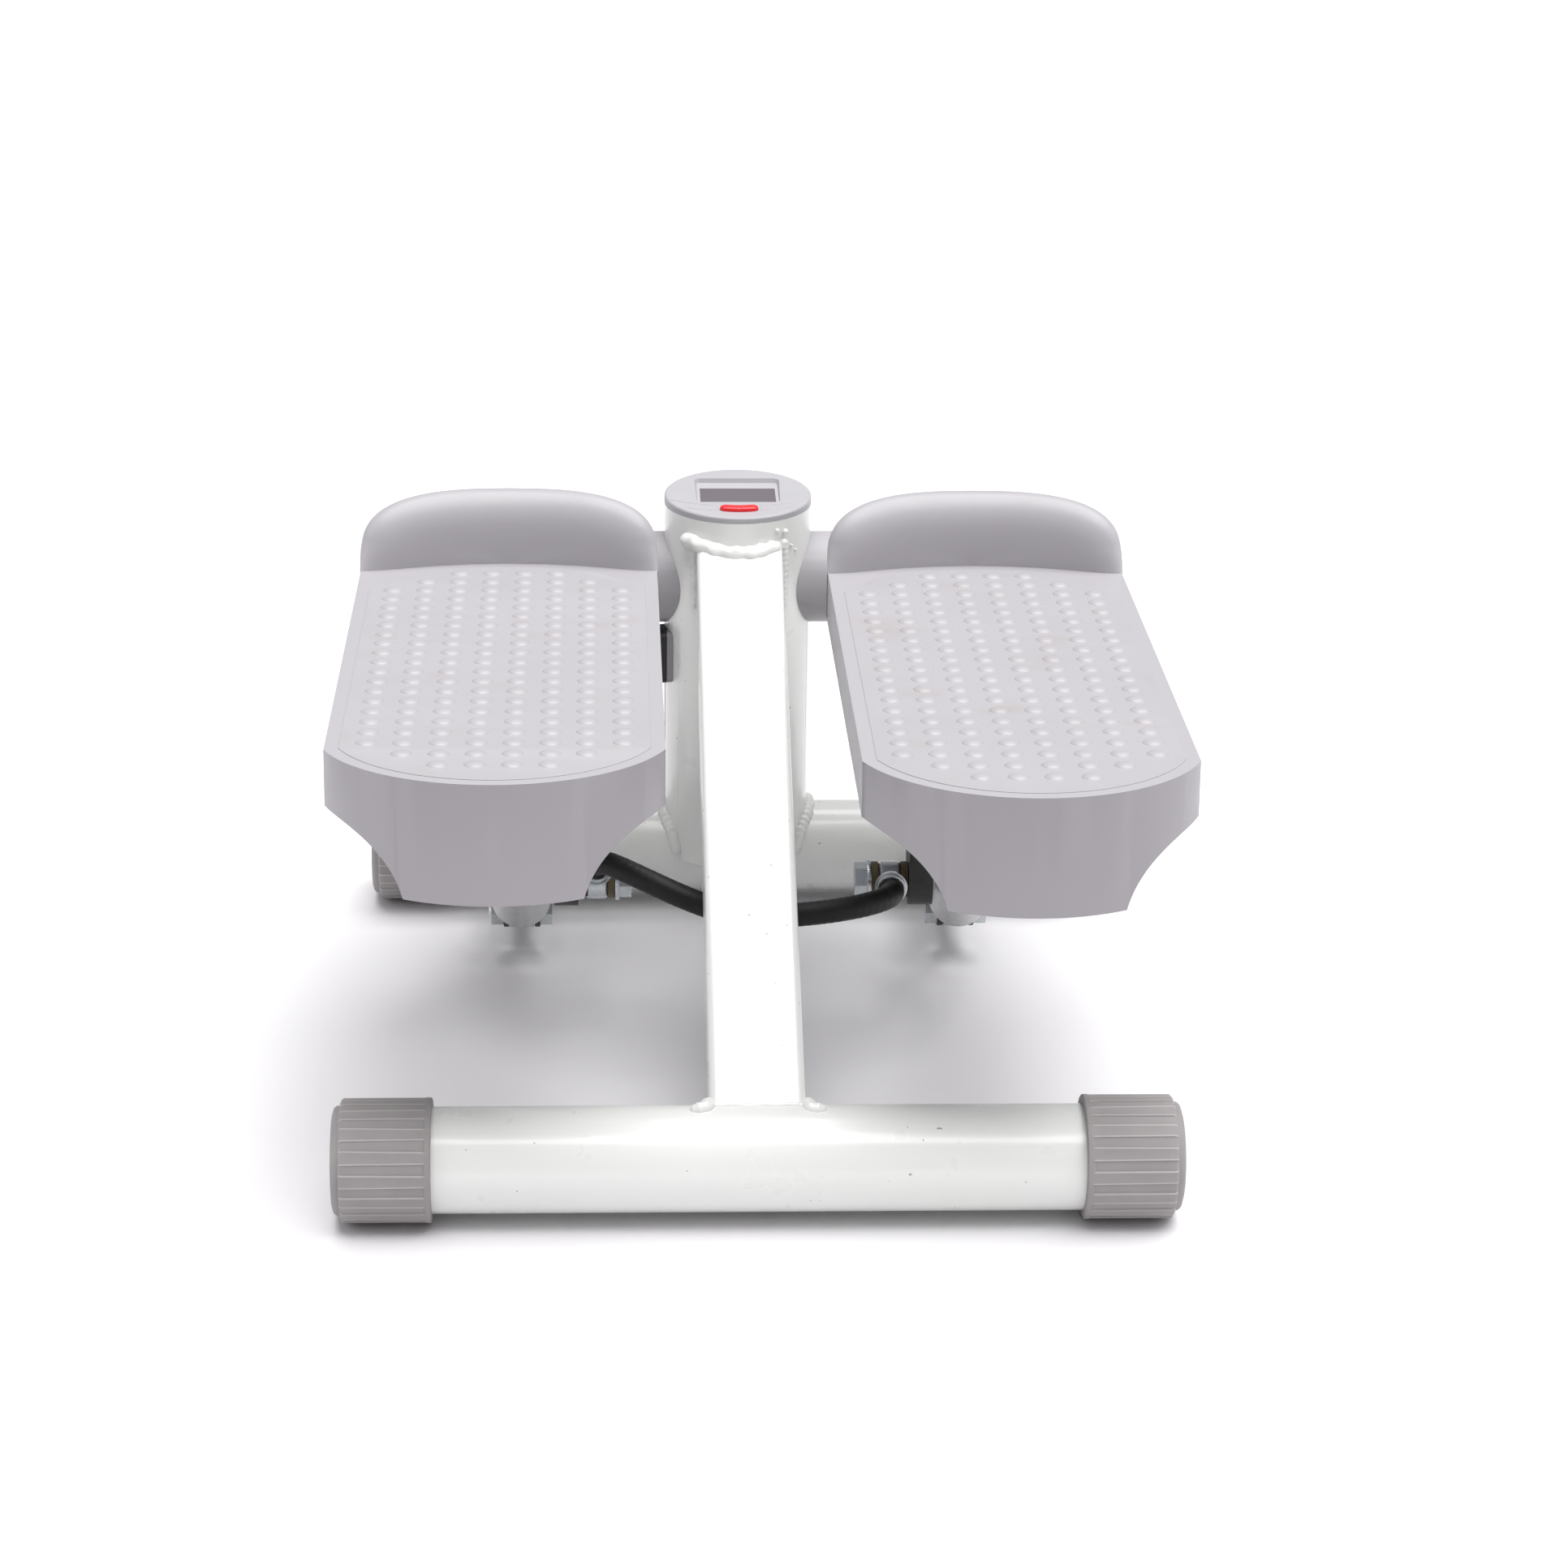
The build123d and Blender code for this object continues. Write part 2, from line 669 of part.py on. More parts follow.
def pedal_block(tread, inset):
    """The pedal's outer solid, or with an inset the hollow that leaves a wall that thick."""
    half = pedal_half_width - inset
    keel_half = keel_half_width - inset
    waist = (keel_waist[0] - inset, -keel_waist[1] + 0.8 * inset)
    top = -pad_thickness - inset if inset > 0 else 0.0
    open_depth = 2 * keel_depth
    reach = 2 * toe_tip_y
    with BuildPart() as block:
        with BuildSketch(tread):
            with BuildLine():
                Line((-half, heel_corner_y), (-half, toe_corner_y))
                ThreePointArc((-half, toe_corner_y), (0, toe_tip_y - inset), (half, toe_corner_y))
                Line((half, toe_corner_y), (half, heel_corner_y))
                ThreePointArc((half, heel_corner_y), (0, heel_tip_y + inset), (-half, heel_corner_y))
            make_face()
        extrude(amount=-open_depth)
        with BuildSketch(across(tread, toe_tip_y)):
            with BuildLine():
                Polyline((0, top), (half, top), (half, -rim_depth + 0.8 * inset))
                ThreePointArc(
                    (half, -rim_depth + 0.8 * inset),
                    waist,
                    (keel_half, -keel_depth + 0.8 * inset),
                )
                Polyline((keel_half, -keel_depth + 0.8 * inset), (keel_half, -open_depth), (0, -open_depth))
                mirror(about=Plane.YZ)
            make_face()
        extrude(amount=reach, mode=Mode.INTERSECT)
        if inset == 0:
            with BuildSketch(lengthwise(tread, -half)):
                Polygon(
                    (-reach, 1),
                    (reach, 1),
                    (reach, -rim_depth),
                    (keel_end_y, -rim_depth),
                    (keel_full_y, -keel_depth),
                    (-reach, -keel_depth),
                    align=None,
                )
            extrude(amount=2 * half, mode=Mode.INTERSECT)
    return block.part


def toe_guard(tread):
    """Raised guard round the toe, arched from side to side."""
    with BuildPart() as guard:
        with BuildSketch(tread.offset(-1)):
            with BuildLine():
                ThreePointArc(
                    (-pedal_half_width, toe_corner_y), (0, toe_tip_y), (pedal_half_width, toe_corner_y)
                )
                Line((pedal_half_width, toe_corner_y), (pedal_half_width - 1, guard_base_corner_y))
                ThreePointArc(
                    (pedal_half_width - 1, guard_base_corner_y),
                    (0, guard_base_tip_y),
                    (1 - pedal_half_width, guard_base_corner_y),
                )
                Line((1 - pedal_half_width, guard_base_corner_y), (-pedal_half_width, toe_corner_y))
            make_face()
        extrude(amount=guard_height + 1)
        with BuildSketch(across(tread, toe_tip_y)):
            with BuildLine():
                steps = 24
                arch = []
                for step in range(steps + 1):
                    turn = radians(180 * step / steps)
                    wide = pedal_half_width * abs(cos(turn)) ** (2 / guard_power)
                    high = guard_height * sin(turn) ** (2 / guard_power) if 0 < step < steps else 0.0
                    arch.append((wide if turn < radians(90) else -wide, high))
                Spline(*arch)
                Polyline(arch[-1], (arch[-1][0], -1), (arch[0][0], -1), arch[0])
            make_face()
        extrude(amount=toe_tip_y, mode=Mode.INTERSECT)
    return guard.part


def pad_outline(tread, gap):
    """Face of the tread's inlaid pad, smaller all round by the gap."""
    half = pad_half_width - gap
    toe_y = pad_toe_corner_y - gap
    heel_y = heel_corner_y + 1.5
    chamfer_y = toe_y - pad_toe_chamfer
    with BuildSketch(tread) as outline:
        with BuildLine():
            ThreePointArc((half, heel_y), (0, heel_tip_y + 5.5 + gap), (-half, heel_y))
            Polyline((-half, heel_y), (-half, chamfer_y), (pad_toe_chamfer - half, toe_y + 6))
            ThreePointArc(
                (pad_toe_chamfer - half, toe_y + 6),
                (0, guard_base_tip_y - 6 - gap),
                (half - pad_toe_chamfer, toe_y + 6),
            )
            Polyline((half - pad_toe_chamfer, toe_y + 6), (half, chamfer_y), (half, heel_y))
        make_face()
    return outline.sketch


def pedal_shell(side_name):
    """Moulded pedal: thin shell with a seat for the pad, ribs, screw bosses and the toe guard."""
    side = SIDES[side_name]
    plane = pedal_plane(side_name)
    tread = tread_plane(side_name)
    block = pedal_block(tread, 0.0)
    hollow = pedal_block(tread, shell_wall)
    guard = toe_guard(tread)
    seat = pad_outline(tread, 0.0)
    rib_depth = 15.0
    skin_under = -pad_thickness - shell_wall
    with BuildPart() as shell:
        add(block)
        add(hollow, mode=Mode.SUBTRACT)
        for rib_y in (-112.0, -60.0, 0.0, 60.0, 112.0):
            with BuildSketch(across(tread, rib_y)):
                with Locations((0, skin_under - rib_depth / 2 + 0.5)):
                    Rectangle(2 * pedal_half_width - 2, rib_depth)
            extrude(amount=2.5)
        for rib_x in (-26.0, 26.0):
            with BuildSketch(lengthwise(tread, rib_x - 1.25)):
                with Locations((0, skin_under - rib_depth / 2 + 0.5)):
                    Rectangle(-2 * heel_corner_y, rib_depth)
            extrude(amount=2.5)
        add(guard)
        with BuildSketch(plane.offset(arm_top + 0.1)):
            with Locations(*screw_places(side)):
                Circle(boss_r)
        extrude(amount=tread_height - arm_top - pad_thickness - 1)
        with BuildSketch(across(plane, -20)):
            with Locations((side * arm_middle_x, arm_top + 0.1 - 30)):
                Rectangle(arm_outer_x - arm_inner_x + 3, 60)
        extrude(amount=arm_reach - 17, mode=Mode.SUBTRACT)
        with BuildSketch(across(plane, -85)):
            with Locations((side * (lug_inner_x + arm_inner_x) / 2, arm_top + 0.1 - 30)):
                Rectangle(arm_inner_x - lug_inner_x + 3, 60)
        extrude(amount=75, mode=Mode.SUBTRACT)
        with BuildSketch(plane.offset(arm_top)):
            with Locations(*screw_places(side)):
                Circle(screw_r + running_gap)
        extrude(amount=7.0, mode=Mode.SUBTRACT)
        extrude(seat, amount=-pad_thickness, mode=Mode.SUBTRACT)
    return shell.part


def tread_pad(side_name):
    """Soft inlay that lies flush in the tread."""
    outline = pad_outline(tread_plane(side_name), pad_gap)
    with BuildPart() as pad:
        extrude(outline, amount=-pad_thickness + running_gap)
    return pad.part


# ---- Hydraulic cylinders ----
def cylinder_side_view(plane):
    """Plane through the cylinder's axis: sketch x along the rod, extruding to +X."""
    return Plane(origin=plane.origin, x_dir=plane.z_dir, z_dir=(1, 0, 0))


def cylinder_barrel(side_name):
    """Closed barrel with its lower eye."""
    plane = cylinder_plane(side_name)[0]
    with BuildPart() as barrel:
        with BuildSketch(plane.offset(barrel_start)):
            Circle(barrel_r)
        extrude(amount=barrel_end - barrel_start)
        fillet(barrel.edges().filter_by(GeomType.CIRCLE), 2.0)
        with BuildSketch(cylinder_side_view(plane)):
            Circle(foot_eye_r)
            with Locations((barrel_start / 2 + 1, 0)):
                Rectangle(barrel_start + 2, 2 * foot_eye_r - 3)
        extrude(amount=eye_width / 2, both=True)
        with BuildSketch(cylinder_side_view(plane)):
            Circle(bolt_r + running_gap)
        extrude(amount=eye_width, both=True, mode=Mode.SUBTRACT)
        with BuildSketch(plane.offset(barrel_start + 4)):
            Circle(barrel_bore_r)
        extrude(amount=barrel_end - barrel_start - 12, mode=Mode.SUBTRACT)
        with BuildSketch(plane.offset(barrel_end - 10)):
            Circle(rod_r + running_gap)
        extrude(amount=12, mode=Mode.SUBTRACT)
    return barrel.part


def piston_rod(side_name):
    """Rod with its piston inside the barrel and its eye under the arm."""
    plane, length = cylinder_plane(side_name)
    with BuildPart() as rod:
        with BuildSketch(plane.offset(length - rod_length)):
            Circle(rod_r)
        extrude(amount=rod_length - head_eye_r + 1.5)
        with BuildSketch(plane.offset(length - rod_length)):
            Circle(piston_r)
        extrude(amount=piston_thickness)
        with BuildSketch(plane.offset(length - head_eye_r - 9)):
            RegularPolygon(7.5, 6)
        extrude(amount=6.0)
        with BuildSketch(cylinder_side_view(plane)):
            with Locations((length, 0)):
                Circle(head_eye_r)
        extrude(amount=eye_width / 2, both=True)
        with BuildSketch(cylinder_side_view(plane)):
            with Locations((length, 0)):
                Circle(head_eye_bore_r)
        extrude(amount=eye_width, both=True, mode=Mode.SUBTRACT)
    return rod.part


# ---- Console and step sensor ----
def face_z(y):
    """Height of the console's sloping face, which is highest at its toe side."""
    return bezel_top - (axle_y + bezel_r - y) * tan(radians(face_fall))


def button_outline(z, margin):
    """Curved slot that follows the console's rim."""
    with BuildSketch(Plane.XY.offset(z)) as outline:
        with BuildLine(mode=Mode.PRIVATE) as arc:
            CenterArc((0, axle_y), button_arc_r, 270 - button_half_angle, 2 * button_half_angle)
        SlotArc(arc.edge(), button_width + 2 * margin)
    return outline.sketch


plate_under = bezel_top - 4.0            # underside of the console's top plate
board_top = column_top - 3.6
board_thickness = 1.6
board_r = 27.0
console_posts = ((-23.0, -8.4), (23.0, -8.4), (0.0, 24.4))    # from the column's axis
lens_y = axle_y + lens_centre_y


def console_housing():
    """Round housing: a bezel on the column's rim and a plug inside the column."""
    plug_r = column_r - column_wall - 0.1
    plug_low = column_top - 22.0
    toe_y, user_y = axle_y + bezel_r, axle_y - bezel_r
    above = bezel_top + 1
    wedge = [(toe_y, bezel_top), (toe_y, above), (user_y, above), (user_y, face_z(user_y))]
    with BuildPart() as housing:
        with BuildSketch(Plane.XY.offset(column_top + running_gap)):
            with Locations((0, axle_y)):
                Circle(bezel_r)
        extrude(amount=bezel_height - running_gap)
        with BuildSketch(Plane.YZ):
            Polygon(*wedge, align=None)
        extrude(amount=bezel_r + 1, both=True, mode=Mode.SUBTRACT)
        face = housing.faces().filter_by(lambda f: f.normal_at().Z > 0.9).sort_by(Axis.Z)[-1]
        fillet(face.edges(), 1.2)
        with BuildSketch(Plane.XY.offset(plug_low)):
            with Locations((0, axle_y)):
                Circle(plug_r)
        extrude(amount=column_top - plug_low + 1)
        with BuildSketch(Plane.XY.offset(plug_low)):
            with Locations((0, axle_y)):
                Circle(plug_r - 2.0)
        extrude(amount=plate_under - plug_low, mode=Mode.SUBTRACT)
        with BuildSketch(Plane.XY.offset(board_top + running_gap)):
            with Locations(*[(x, axle_y + y) for x, y in console_posts]):
                Circle(2.6)
        extrude(amount=plate_under - board_top)
        with BuildSketch(Plane.XY.offset(board_top)):
            with Locations(*[(x, axle_y + y) for x, y in console_posts]):
                Circle(1.25)
        extrude(amount=4.5, mode=Mode.SUBTRACT)
        with BuildSketch(Plane.XY.offset(bezel_top)):
            with Locations((0, axle_y + recess_centre_y)):
                RectangleRounded(recess_width, recess_depth, 3.0)
        extrude(amount=-recess_sink, taper=25, mode=Mode.SUBTRACT)
        with BuildSketch(Plane.XY.offset(plate_under - 1)):
            with Locations((0, lens_y)):
                Rectangle(lens_width, lens_depth)
        extrude(amount=5.0, mode=Mode.SUBTRACT)
        extrude(button_outline(plate_under - 1, 0.15), amount=6.0, mode=Mode.SUBTRACT)
    return housing.part


def display_lens():
    with BuildPart() as lens:
        with BuildSketch(Plane.XY.offset(plate_under + 0.1)):
            with Locations((0, lens_y)):
                Rectangle(lens_width - 0.1, lens_depth - 0.1)
        extrude(amount=bezel_top - recess_sink - plate_under - 0.1)
    return lens.part


def display_panel():
    with BuildPart() as panel:
        with BuildSketch(Plane.XY.offset(plate_under - 0.05)):
            with Locations((0, lens_y)):
                Rectangle(lens_width + 5, lens_depth + 5)
        extrude(amount=-2.0)
    return panel.part


def circuit_board():
    """Round board with the switch under the button."""
    with BuildPart() as board:
        with BuildSketch(Plane.XY.offset(board_top)):
            with Locations((0, axle_y)):
                Circle(board_r)
            with Locations(*[(x, axle_y + y) for x, y in console_posts]):
                Circle(1.3, mode=Mode.SUBTRACT)
        extrude(amount=-board_thickness)
        with BuildSketch(Plane.XY.offset(board_top)):
            with Locations((0, axle_y - button_arc_r)):
                Rectangle(6.0, 6.0)
        extrude(amount=plate_under - 2.6 - board_top)
    return board.part


def console_screws():
    under = board_top - board_thickness
    with BuildPart() as screws:
        with BuildSketch(Plane.XY.offset(under)):
            with Locations(*[(x, axle_y + y) for x, y in console_posts]):
                Circle(2.2)
        extrude(amount=-1.4)
        with BuildSketch(Plane.XY.offset(under)):
            with Locations(*[(x, axle_y + y) for x, y in console_posts]):
                Circle(1.2)
        extrude(amount=board_thickness + 4.0)
    return screws.part


def battery():
    """Coin cell under the circuit board."""
    with BuildPart() as cell:
        with BuildSketch(Plane.XY.offset(board_top - board_thickness)):
            with Locations((0, axle_y)):
                Circle(10.0)
        extrude(amount=-3.2)
    return cell.part


def console_button():
    with BuildPart() as button:
        flange = button_outline(plate_under - 0.1, 1.0)
        extrude(flange, amount=-1.1)
        stem = button_outline(plate_under - 0.2, 0.0)
        extrude(stem, amount=face_z(axle_y - button_arc_r) + button_stand - plate_under + 0.2)
        fillet(button.edges().group_by(Axis.Z)[-1], 1.0)
    return button.part


def sensor_housing():
    """Small box on the column's side, cut to the column's curve."""
    plane = sensor_axis()
    with BuildPart() as housing:
        with BuildSketch(plane.offset(column_r - 4)):
            RectangleRounded(16.0, sensor_height, 2.5)
        extrude(amount=12.0)
        with BuildSketch(Plane.XY):
            with Locations((0, axle_y)):
                Circle(column_r + running_gap)
        extrude(amount=column_top, mode=Mode.SUBTRACT)
        with BuildSketch(plane):
            with Locations((0, sensor_screw_at)):
                Circle(sensor_screw_r + running_gap)
        extrude(amount=column_r + 12.0, mode=Mode.SUBTRACT)
        with BuildSketch(plane):
            Circle(cable_r + running_gap)
        extrude(amount=column_r + 4.0, mode=Mode.SUBTRACT)
    return housing.part


def sensor_screw():
    plane = sensor_axis()
    face = column_r + 8.0
    with BuildPart() as screw:
        with BuildSketch(plane.offset(face + 0.05)):
            with Locations((0, sensor_screw_at)):
                Circle(2.8)
        extrude(amount=1.6)
        with BuildSketch(plane.offset(face + 0.05)):
            with Locations((0, sensor_screw_at)):
                Circle(sensor_screw_r)
        extrude(amount=-12.0)
    return screw.part


def sensor_cable():
    """Cable from the sensor through the column's wall and up to the circuit board."""
    plane = sensor_axis()
    corner_r = column_r - 6.0
    outer = plane.from_local_coords((0, 0, column_r + 3.0))
    corner = plane.from_local_coords((0, 0, corner_r))
    beside_axle = (-22.0, axle_y - 15.0)
    bends = [outer, corner, (*beside_axle, corner.Z), (*beside_axle, board_top - board_thickness - 0.1)]
    with BuildPart() as cable:
        with BuildLine():
            FilletPolyline(*bends, radius=3.0)
        with BuildSketch(Plane(origin=outer, z_dir=-plane.z_dir)):
            Circle(cable_r)
        sweep()
    return cable.part


# ---- Build and write every piece ----
pieces = {
    "rear_cross_tube": floor_tube(rear_tube_y),
    "front_cross_tube": floor_tube(front_tube_y),
    "centre_beam": centre_beam(),
    "upright_column": upright_column(),
    "pulley_bracket": pulley_bracket(),
    "guide_pulley": guide_pulley(),
    "pulley_bolt": pulley_bolt(),
    "console_housing": console_housing(),
    "display_lens": display_lens(),
    "display_panel": display_panel(),
    "circuit_board": circuit_board(),
    "console_screws": console_screws(),
    "battery": battery(),
    "console_button": console_button(),
    "sensor_housing": sensor_housing(),
    "sensor_screw": sensor_screw(),
    "sensor_cable": sensor_cable(),
    "sensor_magnet": sensor_magnet(),
}
bolts, nuts = lower_cylinder_fasteners()
pieces["cylinder_foot_bolts"] = bolts
pieces["cylinder_foot_nuts"] = nuts
axle_end_x = hub_end_x + 0.3
washer_end_x = axle_end_x + 2.6
inner_washers = []
end_washers = []
end_bolts = []
for side in SIDES.values():
    start = side * cover_end_x
    inner_washers.append(
        ring_along_x(start, start + side * 1.4, axle_y, pivot_z, cover_r - 0.5, axle_r + running_gap)
    )
    end_washers.append(
        ring_along_x(side * axle_end_x, side * washer_end_x, axle_y, pivot_z, 15.0, bolt_r + running_gap)
    )
    end_bolts.append(hex_bolt(side * washer_end_x, -side, axle_y, pivot_z, 20.0))
with BuildPart() as axle:
    add(ring_along_x(-axle_end_x, axle_end_x, axle_y, pivot_z, axle_r))
    for side in SIDES.values():
        add(
            ring_along_x(side * (axle_end_x - 24), side * axle_end_x, axle_y, pivot_z, bolt_r + running_gap),
            mode=Mode.SUBTRACT,
        )
pieces["pivot_axle"] = axle.part
pieces["axle_washers"] = Compound(children=inner_washers)
pieces["axle_end_washers"] = Compound(children=end_washers)
pieces["axle_end_bolts"] = Compound(children=end_bolts)

for name, side in SIDES.items():
    pieces[f"foot_cap_rear_{name}"] = foot_cap(side, rear_tube_y)
    pieces[f"foot_cap_front_{name}"] = foot_cap(side, front_tube_y)
    pieces[f"pivot_cover_{name}"] = pivot_cover(side)
    pieces[f"cylinder_bracket_{name}"] = cylinder_bracket(side)
    pieces[f"rope_{name}"] = rope_half(name)
    pieces[f"pedal_{name}"] = pedal_shell(name)
    pieces[f"tread_pad_{name}"] = tread_pad(name)
    pieces[f"pedal_arm_{name}"] = pedal_arm(name)
    pieces[f"hub_cover_{name}"] = hub_cover(name)
    pieces[f"hub_bushes_{name}"] = hub_bushes(side)
    pieces[f"pedal_screws_{name}"] = pedal_screws(name)
    pieces[f"rope_bolt_{name}"] = rope_bolt(side)
    pieces[f"rope_washer_{name}"] = rope_washer(side)
    pieces[f"rope_bushes_{name}"] = rope_bushes(side)
    pieces[f"rope_eye_{name}"] = rope_eye(name)
    pieces[f"rod_bolt_{name}"] = rod_bolt(name)
    pieces[f"cylinder_barrel_{name}"] = cylinder_barrel(name)
    pieces[f"piston_rod_{name}"] = piston_rod(name)

for name, piece in pieces.items():
    save(piece, name)
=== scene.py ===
import json
import math

import bmesh
import bpy
import numpy as np
from mathutils import Matrix, Vector, noise


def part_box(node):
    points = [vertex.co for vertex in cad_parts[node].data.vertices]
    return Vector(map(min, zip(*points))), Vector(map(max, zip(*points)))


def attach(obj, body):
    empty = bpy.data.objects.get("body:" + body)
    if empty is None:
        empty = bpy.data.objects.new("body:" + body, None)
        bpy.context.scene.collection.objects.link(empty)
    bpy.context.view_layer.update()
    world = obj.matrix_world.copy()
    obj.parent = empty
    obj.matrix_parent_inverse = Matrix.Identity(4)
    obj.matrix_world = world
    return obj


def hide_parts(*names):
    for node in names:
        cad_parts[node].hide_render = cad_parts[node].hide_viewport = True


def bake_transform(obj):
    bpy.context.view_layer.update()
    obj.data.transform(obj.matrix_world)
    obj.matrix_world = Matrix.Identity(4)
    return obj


# Looks of the mini stepper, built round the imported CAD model. Metres, +Y towards the toes, +Z up.

MM = 0.001
SAME_PLACE = 0.002 * MM    # vertices nearer than this are one
SHARP = math.radians(32)    # edges that turn more than this are rounded
CREASE = math.radians(42)    # and those of new pieces past this are shaded hard
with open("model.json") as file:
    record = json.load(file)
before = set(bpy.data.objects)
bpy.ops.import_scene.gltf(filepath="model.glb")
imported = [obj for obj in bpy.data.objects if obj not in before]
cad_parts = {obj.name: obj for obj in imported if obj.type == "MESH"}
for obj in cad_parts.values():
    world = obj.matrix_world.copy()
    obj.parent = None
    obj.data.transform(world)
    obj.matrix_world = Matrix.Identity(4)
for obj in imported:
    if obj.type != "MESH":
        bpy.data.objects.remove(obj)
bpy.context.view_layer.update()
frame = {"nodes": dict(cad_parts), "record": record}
NODES = frame["nodes"]
SIDES = {"left": -1, "right": 1}


# ---- Materials ----
class Shader:
    """A principled material whose colour, roughness and bump come from procedural nodes."""

    def __init__(self, name, color, roughness, metallic=0.0):
        self.material = bpy.data.materials.new(name)
        self.material.use_nodes = True
        self.tree = self.material.node_tree
        self.principled = self.tree.nodes["Principled BSDF"]
        self.principled.inputs["Metallic"].default_value = metallic
        self.color = self.rgb(color)
        self.rough = self.value(roughness)
        self.height = None
        self.coords = self.tree.nodes.new("ShaderNodeTexCoord").outputs["Object"]

    def node(self, kind, **settings):
        made = self.tree.nodes.new(kind)
        for key, setting in settings.items():
            setattr(made, key, setting)
        return made

    def link(self, source, target):
        self.tree.links.new(source, target)

    def rgb(self, color):
        made = self.node("ShaderNodeRGB")
        made.outputs[0].default_value = (*color, 1.0)
        return made.outputs[0]

    def value(self, number):
        made = self.node("ShaderNodeValue")
        made.outputs[0].default_value = number
        return made.outputs[0]

    def noise(self, size, detail=3.0, stretch=(1, 1, 1)):
        """Noise whose features are about the given size in metres."""
        mapping = self.node("ShaderNodeMapping")
        mapping.inputs["Scale"].default_value = [part / size for part in stretch]
        self.link(self.coords, mapping.inputs["Vector"])
        texture = self.node("ShaderNodeTexNoise")
        texture.inputs["Scale"].default_value = 1.0
        texture.inputs["Detail"].default_value = detail
        self.link(mapping.outputs["Vector"], texture.inputs["Vector"])
        return texture.outputs["Fac"]

    def ramp(self, source, low, high, out_low=0.0, out_high=1.0):
        made = self.node("ShaderNodeMapRange")
        for key, number in zip(("From Min", "From Max", "To Min", "To Max"), (low, high, out_low, out_high)):
            made.inputs[key].default_value = number
        self.link(source, made.inputs["Value"])
        return made.outputs["Result"]

    def tint(self, mask, color):
        """Mixes another colour in where the mask is high."""
        made = self.node("ShaderNodeMix", data_type="RGBA")
        self.link(mask, made.inputs["Factor"])
        self.link(self.color, made.inputs["A"])
        made.inputs["B"].default_value = (*color, 1.0)
        self.color = made.outputs["Result"]

    def roughen(self, mask, amount):
        made = self.node("ShaderNodeMath", operation="MULTIPLY_ADD")
        self.link(mask, made.inputs[0])
        made.inputs[1].default_value = amount
        self.link(self.rough, made.inputs[2])
        self.rough = made.outputs[0]

    def bump(self, source, depth):
        """Adds relief of about the given depth in metres."""
        scaled = self.node("ShaderNodeMath", operation="MULTIPLY")
        self.link(source, scaled.inputs[0])
        scaled.inputs[1].default_value = depth
        if self.height is None:
            self.height = scaled.outputs[0]
            return
        total = self.node("ShaderNodeMath", operation="ADD")
        self.link(self.height, total.inputs[0])
        self.link(scaled.outputs[0], total.inputs[1])
        self.height = total.outputs[0]

    def edges(self):
        """High on outward edges, for wear."""
        return self.ramp(self.node("ShaderNodeNewGeometry").outputs["Pointiness"], 0.52, 0.6)

    def finish(self, **inputs):
        self.link(self.color, self.principled.inputs["Base Color"])
        self.link(self.rough, self.principled.inputs["Roughness"])
        if self.height is not None:
            made = self.node("ShaderNodeBump")
            made.inputs["Strength"].default_value = 1.0
            made.inputs["Distance"].default_value = 1.0
            self.link(self.height, made.inputs["Height"])
            self.link(made.outputs["Normal"], self.principled.inputs["Normal"])
        for key, setting in inputs.items():
            self.principled.inputs[key.replace("_", " ")].default_value = setting
        return self.material


def white_paint():
    """Gloss powder coat: faint orange peel, a few dust nibs and a warm cast in patches."""
    paint = Shader("white_paint", (0.80, 0.805, 0.785), 0.24)
    paint.tint(paint.ramp(paint.noise(0.07, 2.0), 0.45, 0.75, 0.0, 0.35), (0.77, 0.79, 0.75))
    nibs = paint.ramp(paint.noise(0.0019, 0.0), 0.868, 0.885)
    paint.tint(nibs, (0.35, 0.34, 0.32))
    paint.roughen(paint.noise(0.02), 0.10)
    paint.bump(paint.noise(0.0022, 1.0), 0.000012)
    paint.bump(nibs, 0.00004)
    return paint.finish(Coat_Weight=0.35, Coat_Roughness=0.12)


def grained(name, color, shade, roughness):
    """Shader of moulded plastic: spark-eroded grain, slight colour drift, scuffs and paler edges."""
    plastic = Shader(name, color, roughness)
    plastic.tint(plastic.ramp(plastic.noise(0.05, 2.0), 0.4, 0.7, 0.0, 0.6), shade)
    plastic.tint(plastic.ramp(plastic.noise(0.0035, 4.0), 0.66, 0.75, 0.0, 0.25), shade)
    plastic.tint(plastic.ramp(plastic.edges(), 0.0, 1.0, 0.0, 0.3), tuple(min(1.0, c * 1.2) for c in color))
    plastic.roughen(plastic.noise(0.012), 0.16)
    plastic.bump(plastic.noise(0.0006, 2.0), 0.000018)
    scuff = plastic.ramp(plastic.noise(0.004, 2.0, (1.0, 0.12, 1.0)), 0.70, 0.78)
    plastic.roughen(scuff, 0.12)
    return plastic


def moulded(name, color, shade, roughness):
    return grained(name, color, shade, roughness).finish(Specular_IOR_Level=0.45)


def pedal_plastic():
    """Pedal shell, with painted shade on its sides and painted light where it faces up."""
    # Painted shade: the base colour is darker than the plastic's own, so that the sides look shaded.
    plastic = grained("pedal_plastic", (0.290, 0.277, 0.296), (0.276, 0.262, 0.282), 0.33)
    facing = plastic.node("ShaderNodeSeparateXYZ")
    plastic.link(plastic.node("ShaderNodeNewGeometry").outputs["Normal"], facing.inputs["Vector"])
    # Painted light: faces turned upwards get the lighter colour that light from above gives them.
    plastic.tint(plastic.ramp(facing.outputs["Z"], 0.55, 0.95), (0.402, 0.388, 0.410))
    return plastic.finish(Specular_IOR_Level=0.45)


def pad_plastic():
    """Tread plastic with faint brown stains trodden into it."""
    plastic = grained("pad_plastic", (0.408, 0.396, 0.416), (0.392, 0.378, 0.398), 0.30)
    stains = plastic.ramp(plastic.noise(0.022, 4.0), 0.60, 0.78, 0.0, 0.30)
    plastic.tint(stains, (0.335, 0.285, 0.240))
    return plastic.finish(Specular_IOR_Level=0.5)


